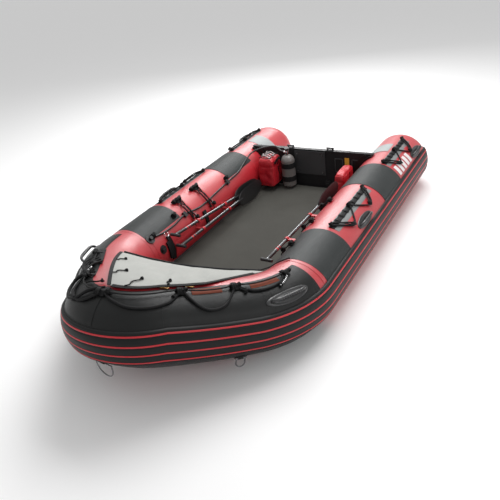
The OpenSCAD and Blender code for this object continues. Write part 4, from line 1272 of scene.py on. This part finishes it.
@dataclass
class Stowage:
    """Bags, hose, straps and red panel along the insides of the tubes."""

    hose_d: float = 0.016

    def bags(self) -> None:
        """Builds the two red bags in the stern corners and their lashings."""
        for node, name in (("bag_starboard", "starboard_bag"), ("bag_port", "port_bag")):
            low, high = (Vector(v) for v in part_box(node))
            Bag(name, node, low, high + Vector((0, 0, 0.008))).build()
        bm = bmesh.new()
        low, high = (Vector(v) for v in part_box("bag_starboard"))
        top = high.z + 0.004
        for k in range(5):
            x = low.x + (high.x - low.x) * (0.15 + 0.17 * k)
            points = [Vector((x, low.y + 0.03, top)), Vector((x + 0.03, (low.y + high.y) / 2, top + 0.012)),
                      Vector((x, high.y - 0.03, top))]
            cord(bm, points, 0.008, 7, 0.01)
        handle = [Vector((low.x + 0.04, high.y, high.z - 0.05)), Vector((low.x + 0.11, high.y + 0.012, high.z - 0.015)),
                  Vector((high.x - 0.04, high.y, high.z - 0.05))]
        webbing(bm, handle, [Vector((0, 1, 0))] * 3, 0.028, 0.003, 0.01)
        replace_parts(settle("bag_lashing_cords", bm, "rope", 1.0), "bag_lashings")
        pale = bmesh.new()
        for k in range(4):
            x = low.x + (high.x - low.x) * (0.20 + 0.17 * k)
            points = [Vector((x, low.y + 0.045, top + 0.004)), Vector((x + 0.012, (low.y + high.y) / 2, top + 0.018)),
                      Vector((x + 0.030, high.y - 0.045, top + 0.004))]
            cord(pale, points, 0.006, 7, 0.01)
            knot(pale, points[k % 2 * 2], Vector((1, 0, 0)), 0.007, 1.8)
        settle("bag_pale_cords", pale, "stripe", 1.0)

    def hose(self) -> None:
        """Builds the filling hose from the front sleeve to the cylinder."""
        low, high = (Vector(v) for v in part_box("cylinder_valve"))
        end = Vector(((low.x + high.x) / 2, low.y + 0.001, 0.497))
        spots = [(0.6405, 135), (0.5855, 138), (0.5055, 141), (0.3655, 142), (0.1975, 139), (-0.0195, 146),
                 (-0.2645, 144), (-0.4965, 141), (-0.7145, 139), (-0.9145, 130)]
        pts = [PATH.on(PATH.star_s(x), a, 0.012) for x, a in spots]
        pts += [Vector((-1.034, -0.545, 0.500)), Vector((-1.119, -0.440, 0.528)), Vector((-1.149, -0.340, 0.530)),
                Vector((end.x, end.y - 0.034, end.z + 0.006)), end]
        bm = bmesh.new()
        line = cord(bm, pts, self.hose_d, 10, 0.014)
        LOG.info("hose is %.2f m long", run(line))
        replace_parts(settle("filling_hose", bm, "hose", 1.2), "hose")

    def harness(self) -> None:
        """Builds the two loops of webbing and line with their knots, the shoulder pad and the front fastenings."""
        bm, ropes, red = bmesh.new(), bmesh.new(), bmesh.new()
        for x in (0.11, -0.16):
            for off in (-0.022, 0.022):
                s = PATH.star_s(x + off)
                angles = spread(112, 172, 7)
                faces = [PATH.on(s, a, 1.0) - PATH.on(s, a, 0.0) for a in angles]
                webbing(red, [PATH.on(s, a, 0.006) for a in angles], faces, 0.018, 0.003)
            for off, swing in ((-0.03, 0.05), (0.02, 0.03), (0.05, -0.04)):
                s = PATH.star_s(x + off)
                spots = ((0, 106, 0.014), (swing * 0.4, 116, 0.022), (swing, 132, 0.024), (swing * 0.7, 148, 0.020),
                         (swing * 0.2, 160, 0.014))
                drop = [PATH.on(s - d, a, h) for d, a, h in spots]
                cord(ropes, drop, 0.010, 7, 0.012)
                knot(ropes, drop[0], Vector((1, 0.4, 0)), 0.016, 2.4)
            s = PATH.star_s(x)
            knot(ropes, PATH.on(s, 109, 0.022), Vector((0.3, 1, 0)), 0.020, 2.6)
            knot(ropes, PATH.on(s + 0.02, 156, 0.018), Vector((1, 0, 1)), 0.013, 2.2)
        for x, a in ((0.30, 128), (-0.52, 133), (0.62, 134)):
            s = PATH.star_s(x)
            knot(ropes, PATH.on(s, a, 0.018), Vector((1, 0, 0)), 0.017, 2.8)
        for x in (0.46, 0.10, -0.27):
            s = PATH.side_s(x)
            for off in (-0.012, 0.020):
                drop = [PATH.on(s + off, a, h) for a, h in ((118, 0.010), (128, 0.016), (140, 0.014), (152, 0.010))]
                cord(ropes, drop, 0.009, 7, 0.012)
            knot(ropes, PATH.on(s, 124, 0.018), Vector((1, 0.3, 0)), 0.016, 2.4)
            knot(ropes, PATH.on(s + 0.01, 142, 0.020), Vector((1, 0, 0.4)), 0.015, 2.4)
        s = PATH.half_s * 1.53
        band(bm, spread(s - 0.17, s + 0.17, 10), sheet_outline(50, 92, 0.006, 12, 0.0040))
        for x, a0, a1 in ((0.50, 150, 196), (0.53, 158, 190), (-0.02, 156, 184)):
            s = PATH.star_s(x)
            angles = spread(a0, a1, 7)
            faces = [PATH.on(s, a, 1.0) - PATH.on(s, a, 0.0) for a in angles]
            webbing(bm, [PATH.on(s, a, 0.010) for a in angles], faces, 0.042, 0.012)
        ends = [PATH.star_s(x) for x in (0.46, -0.30)]
        band(red, spread(ends[0], ends[1], 14), sheet_outline(170, 206, 0.006, 10, 0.0006))
        settle("inside_webbing", bm, "webbing")
        settle("inside_red_panel", red, "bag")
        settle("inside_rope_tails", ropes, "rope", 1.2)

    def rings(self) -> None:
        """Builds the small bright rings on the harness."""
        bm = bmesh.new()
        for x, a in ((0.50, 146), (0.11, 150), (-0.16, 150)):
            s = PATH.star_s(x)
            at = PATH.on(s, a, 0.014)
            up = (at - PATH.at(s).point).normalized()
            side = Vector((1, 0, 0))
            over = up.cross(side)
            ring = [at + 0.020 * (math.cos(t) * side + math.sin(t) * over) for t in circle(12)]
            cord(bm, ring, 0.005, 7, 0.008, closed=True)
        settle("harness_rings", bm, "bright")

    def build(self) -> None:
        """Builds all the stowed soft things."""
        self.bags()
        self.hose()
        self.harness()
        self.rings()


@dataclass
class Paddle:
    """One paddle on its collars: a light shaft with dark sleeves, a dark grip and a dark blade."""

    node: str
    body: str
    front: tuple[float, float, float]
    dip: float
    shaft: float = 0.028
    length: float = 1.400
    blade_l: float = 0.450
    blade_w: float = 0.168
    sleeve: float = 0.985

    def at(self, reach: float, side: float = 0.0, rise: float = 0.0) -> Vector:
        """Gives a point along the paddle.

        Args:
            reach: distance from the front end.
            side: distance across, along Y.
            rise: distance above the middle line.
        Returns:
            The point.
        """
        dip = math.radians(self.dip)
        way = Vector((-math.cos(dip), 0, -math.sin(dip)))
        up = Vector((-math.sin(dip), 0, math.cos(dip)))
        return Vector(self.front) + way * reach + Vector((0, side, 0)) + up * rise

    def build(self) -> None:
        """Builds the shaft, its sleeves, the grip and the blade."""
        neck = self.length - self.blade_l
        bm = bmesh.new()
        cord(bm, [self.at(0.02), self.at(neck + 0.05)], self.shaft * 0.965, 20, 0.1)
        settle(self.node + "_shaft", bm, "paddle", 0.9, self.body)
        dark = bmesh.new()
        cord(dark, [self.at(0.014, -0.045), self.at(0.014, 0.045)], self.shaft * 0.93, 16, 0.05)
        for start, end in ((0.034, 0.15), (neck, neck + 0.06)):
            cord(dark, [self.at(start), self.at(end)], self.shaft * self.sleeve, 20, 0.05)
        ends = bmesh.new()
        for start, end in ((0.165, 0.185), (0.205, 0.215)):
            cord(ends, [self.at(start), self.at(end)], self.shaft * self.sleeve, 20, 0.05)
        settle(self.node + "_rings", ends, "collar", 0.9, self.body)

        def place(u: float, v: float) -> Vector:
            """Puts a point of the blade's skin."""
            reach = neck + self.blade_l * u
            t = 2 * u - 1
            half = self.blade_w / 2 * max(1 - abs(t) ** 3.2, 0.0) ** 0.5
            turn = 2 * math.pi * v
            thick = 0.0045 + 0.006 * max(0.0, 1 - 3 * u) ** 2
            spoon = 0.010 * math.cos(math.pi * t / 2) * math.cos(turn) ** 2
            return self.at(reach, thick * math.sin(turn) + spoon * 0.2, half * math.cos(turn))

        part = bmesh.new()
        grid(part, 40, 28, place, (self.blade_l, self.blade_w * 2))
        close_ends(part)
        merge(dark, part)
        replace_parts(settle(self.node + "_blade", dark, "blade", 0.9, self.body), self.node)


@dataclass
class Floor:
    """The welt along both edges of the inflated floor."""

    inset: float = 0.222
    welt: float = 0.016
    aft_x: float = -1.17
    fore_x: float = 0.69

    def build(self) -> None:
        """Builds the welt."""
        bm = bmesh.new()
        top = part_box("floor_deck")[1][2]
        edge = PATH.half - self.inset
        for sign in (-1, 1):
            line = [Vector((x, sign * edge, top + 0.004)) for x in spread(self.aft_x, self.fore_x, 8)]
            cord(bm, line, self.welt, 8, 0.05)
        settle("floor_welt", bm, "grey_cloth")


@dataclass
class Transom:
    """Small fittings on the transom board."""

    bolt: float = 0.009
    insets: tuple[float, ...] = (-0.52, -0.40, 0.30, 0.47)
    bolts: tuple[tuple[float, float], ...] = ((-0.130, 0.278), (0.130, 0.278), (-0.130, 0.458), (0.130, 0.458))
    bars: tuple[tuple[float, float, float, float], ...] = (
        (0, 0, 0.085, 0.008), (0, 0.13, 0.085, 0.008), (-0.0385, 0.065, 0.008, 0.138), (0.0385, 0.065, 0.008, 0.138)
    )

    def build(self) -> None:
        """Builds bolts and the raised frames of the board."""
        low, high = (Vector(v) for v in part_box("motor_pads"))
        board = Vector(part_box("transom_board")[1])
        bm = bmesh.new()
        for y, z in self.bolts:
            for x, way in ((high.x, 1), (low.x, -1)):
                size = {"radius1": self.bolt, "radius2": self.bolt, "depth": 0.007}
                made = bmesh.ops.create_cone(bm, cap_ends=True, segments=6, **size)["verts"]
                bmesh.ops.rotate(bm, verts=made, cent=(0, 0, 0), matrix=Matrix.Rotation(math.pi / 2, 3, "Y"))
                bmesh.ops.translate(bm, verts=made, vec=(x + way * 0.0035, y, z))
        settle("pad_bolts", bm, "steel", 0.5)
        frames = bmesh.new()
        for y0 in self.insets:
            for dy, dz, ly, lz in self.bars:
                made = bmesh.ops.create_cube(frames, size=1.0)["verts"]
                bmesh.ops.scale(frames, verts=made, vec=(0.006, ly, lz))
                bmesh.ops.translate(frames, verts=made, vec=(board.x + 0.003, y0 + dy, 0.30 + dz))
        edges = frames.edges[:]
        bmesh.ops.bevel(frames, geom=edges, offset=0.0015, segments=2, profile=0.5, affect="EDGES", material=-1)
        settle("transom_frames", frames, "pad")
        rim = bmesh.new()
        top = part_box("transom_board")[1][2]
        middle = (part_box("transom_board")[0][0] + board.x) / 2
        line = [Vector((middle, y, top + 0.001)) for y in spread(-0.40, 0.40, 10)]
        webbing(rim, line, [Vector((0, 0, 1))] * 11, 0.046, 0.004)
        settle("transom_edge_cap", rim, "plastic")


@dataclass
class CadDress:
    """Materials for the frame's own nodes that are shown as they are."""

    finishes: tuple[tuple[str, tuple[str, ...]], ...] = (
        ("grey_cloth", ("bulkheads", "keel_tube")),
        ("bottom", ("hull_skin",)),
        ("mat", ("floor_deck",)),
        ("board", ("transom_board",)),
        ("bow_black", ("transom_holders", "ring_patches")),
        ("plastic", ("transom_cleats", "drain_flange", "hose_fittings", "valve_bodies", "drain_plug", "cylinder_knob",
                     "valve_cap_port", "valve_cap_starboard", "valve_cap_bow")),
        ("pad", ("motor_pads",)),
        ("amber", ("amber_tag",)),
        ("brass", ("dodger_hooks",)),
        ("steel", ("stem_ring", "port_ring")),
        ("bottle", ("air_cylinder",)),
        ("bright", ("cylinder_valve",)),
        ("webbing", ("cylinder_straps",)),
        ("collar", ("paddle_collars",)),
    )

    def build(self) -> None:
        """Puts the materials on."""
        for finish, nodes in self.finishes:
            for node in nodes:
                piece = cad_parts[node]
                if not piece.material_slots:
                    piece.data.materials.append(material(finish))
                for spot in piece.material_slots:
                    spot.material = material(finish)
                LOG.info("dressed %s", node)


@dataclass(frozen=True)
class Studio:
    """The pale floor, the soft lights and the camera."""

    eye: tuple[float, float, float] = (3.636, 2.285, 2.526)
    yaw: float = 0.574
    pitch: float = 0.521
    roll: float = -0.141
    focal: float = 41.58
    sky: float = 0.62
    lamps: tuple[tuple[str, tuple[float, float, float], tuple[float, float], float], ...] = (
        ("top_light", (-1.6, 0.2, 4.4), (4.5, 2.2), 220.0),
        ("stern_light", (-5.0, -2.0, 3.5), (3.0, 1.2), 120.0),
        ("side_light", (1.0, 6.0, 3.0), (3.0, 1.2), 40.0),
    )

    def camera(self) -> None:
        """Places the camera."""
        lens = bpy.data.cameras.new("camera")
        lens.lens = self.focal
        lens.sensor_width = 36.0
        lens.clip_end = 200.0
        eye = link_object("camera", lens)
        level = math.cos(self.pitch)
        ahead = Vector((-math.cos(self.yaw) * level, -math.sin(self.yaw) * level, -math.sin(self.pitch)))
        right = ahead.cross(Vector((0, 0, 1))).normalized()
        up = right.cross(ahead)
        side = right * math.cos(self.roll) + up * math.sin(self.roll)
        top = -right * math.sin(self.roll) + up * math.cos(self.roll)
        turn = Matrix((side, top, -ahead)).transposed().to_4x4()
        eye.matrix_world = Matrix.Translation(self.eye) @ turn
        bpy.context.scene.camera = eye

    def floor(self) -> None:
        """Lays the pale floor."""
        bm = bmesh.new()
        bmesh.ops.create_grid(bm, x_segments=1, y_segments=1, size=60.0)
        mesh = bpy.data.meshes.new("studio_floor")
        bm.to_mesh(mesh)
        bm.free()
        ground = link_object("studio_floor", mesh)
        sheet = MaterialSheet("studio_paper")
        sheet.join("Base Color", (0.93, 0.93, 0.93, 1.0))
        sheet.join("Roughness", 0.9)
        ground.data.materials.append(sheet.material)

    def light(self, name: str, at: tuple[float, float, float], size: tuple[float, float], power: float) -> None:
        """Hangs one soft rectangular light that looks at the boat."""
        lamp = bpy.data.lights.new(name, "AREA")
        lamp.shape = "RECTANGLE"
        lamp.size, lamp.size_y = size
        lamp.energy = power
        holder = link_object(name, lamp)
        aim = (Vector((0, 0, 0.3)) - Vector(at)).normalized()
        holder.matrix_world = Matrix.Translation(at) @ aim.to_track_quat("-Z", "Y").to_matrix().to_4x4()

    def build(self) -> None:
        """Sets up the whole studio."""
        self.camera()
        self.floor()
        world = bpy.data.worlds.new("studio")
        world.use_nodes = True
        world.node_tree.nodes["Background"].inputs["Color"].default_value = (1.0, 1.0, 1.0, 1.0)
        world.node_tree.nodes["Background"].inputs["Strength"].default_value = self.sky
        bpy.context.scene.world = world
        bpy.context.scene.view_settings.view_transform = "Standard"
        for lamp in self.lamps:
            self.light(*lamp)


def main() -> None:
    """Builds the whole boat in order and reports each piece."""
    logging.basicConfig(level=logging.INFO, format="%(name)s: %(message)s")
    Studio().build()
    Tubes().build()
    Strake().build()
    Lacing().build()
    grips = (("mid", PATH.side_s(-0.134), 40, 0.0004), ("stern", PATH.side_s(-1.565), 40, 0.0004),
             ("bow", PATH.corner_s * 0.64, 45, 0.0034))
    for side in ("port", "starboard"):
        for part, s, angle, lift in grips:
            place = PATH.mirror_s(s) if side == "starboard" else s
            CarryHandle(f"handle_moulding_{side}_{part}", f"handle_{side}_{part}", place, angle, lift).build()
    GrabLine().build()
    SprayCover().build()
    Stowage().build()
    bay = PATH.corner_x - 0.8465
    Paddle("paddle_upper", "upper_paddle", (bay + 0.640, -PATH.half + 0.285, 0.386), 6.4).build()
    Paddle("paddle_lower", "lower_paddle", (bay + 0.640, -PATH.half + 0.322, 0.290), 2.6).build()
    Paddle("paddle_port", "port_paddle", (bay + 0.770, PATH.half - 0.283, 0.392), 1.6).build()
    Floor().build()
    Transom().build()
    CadDress().build()


if __name__ == "__main__":
    main()
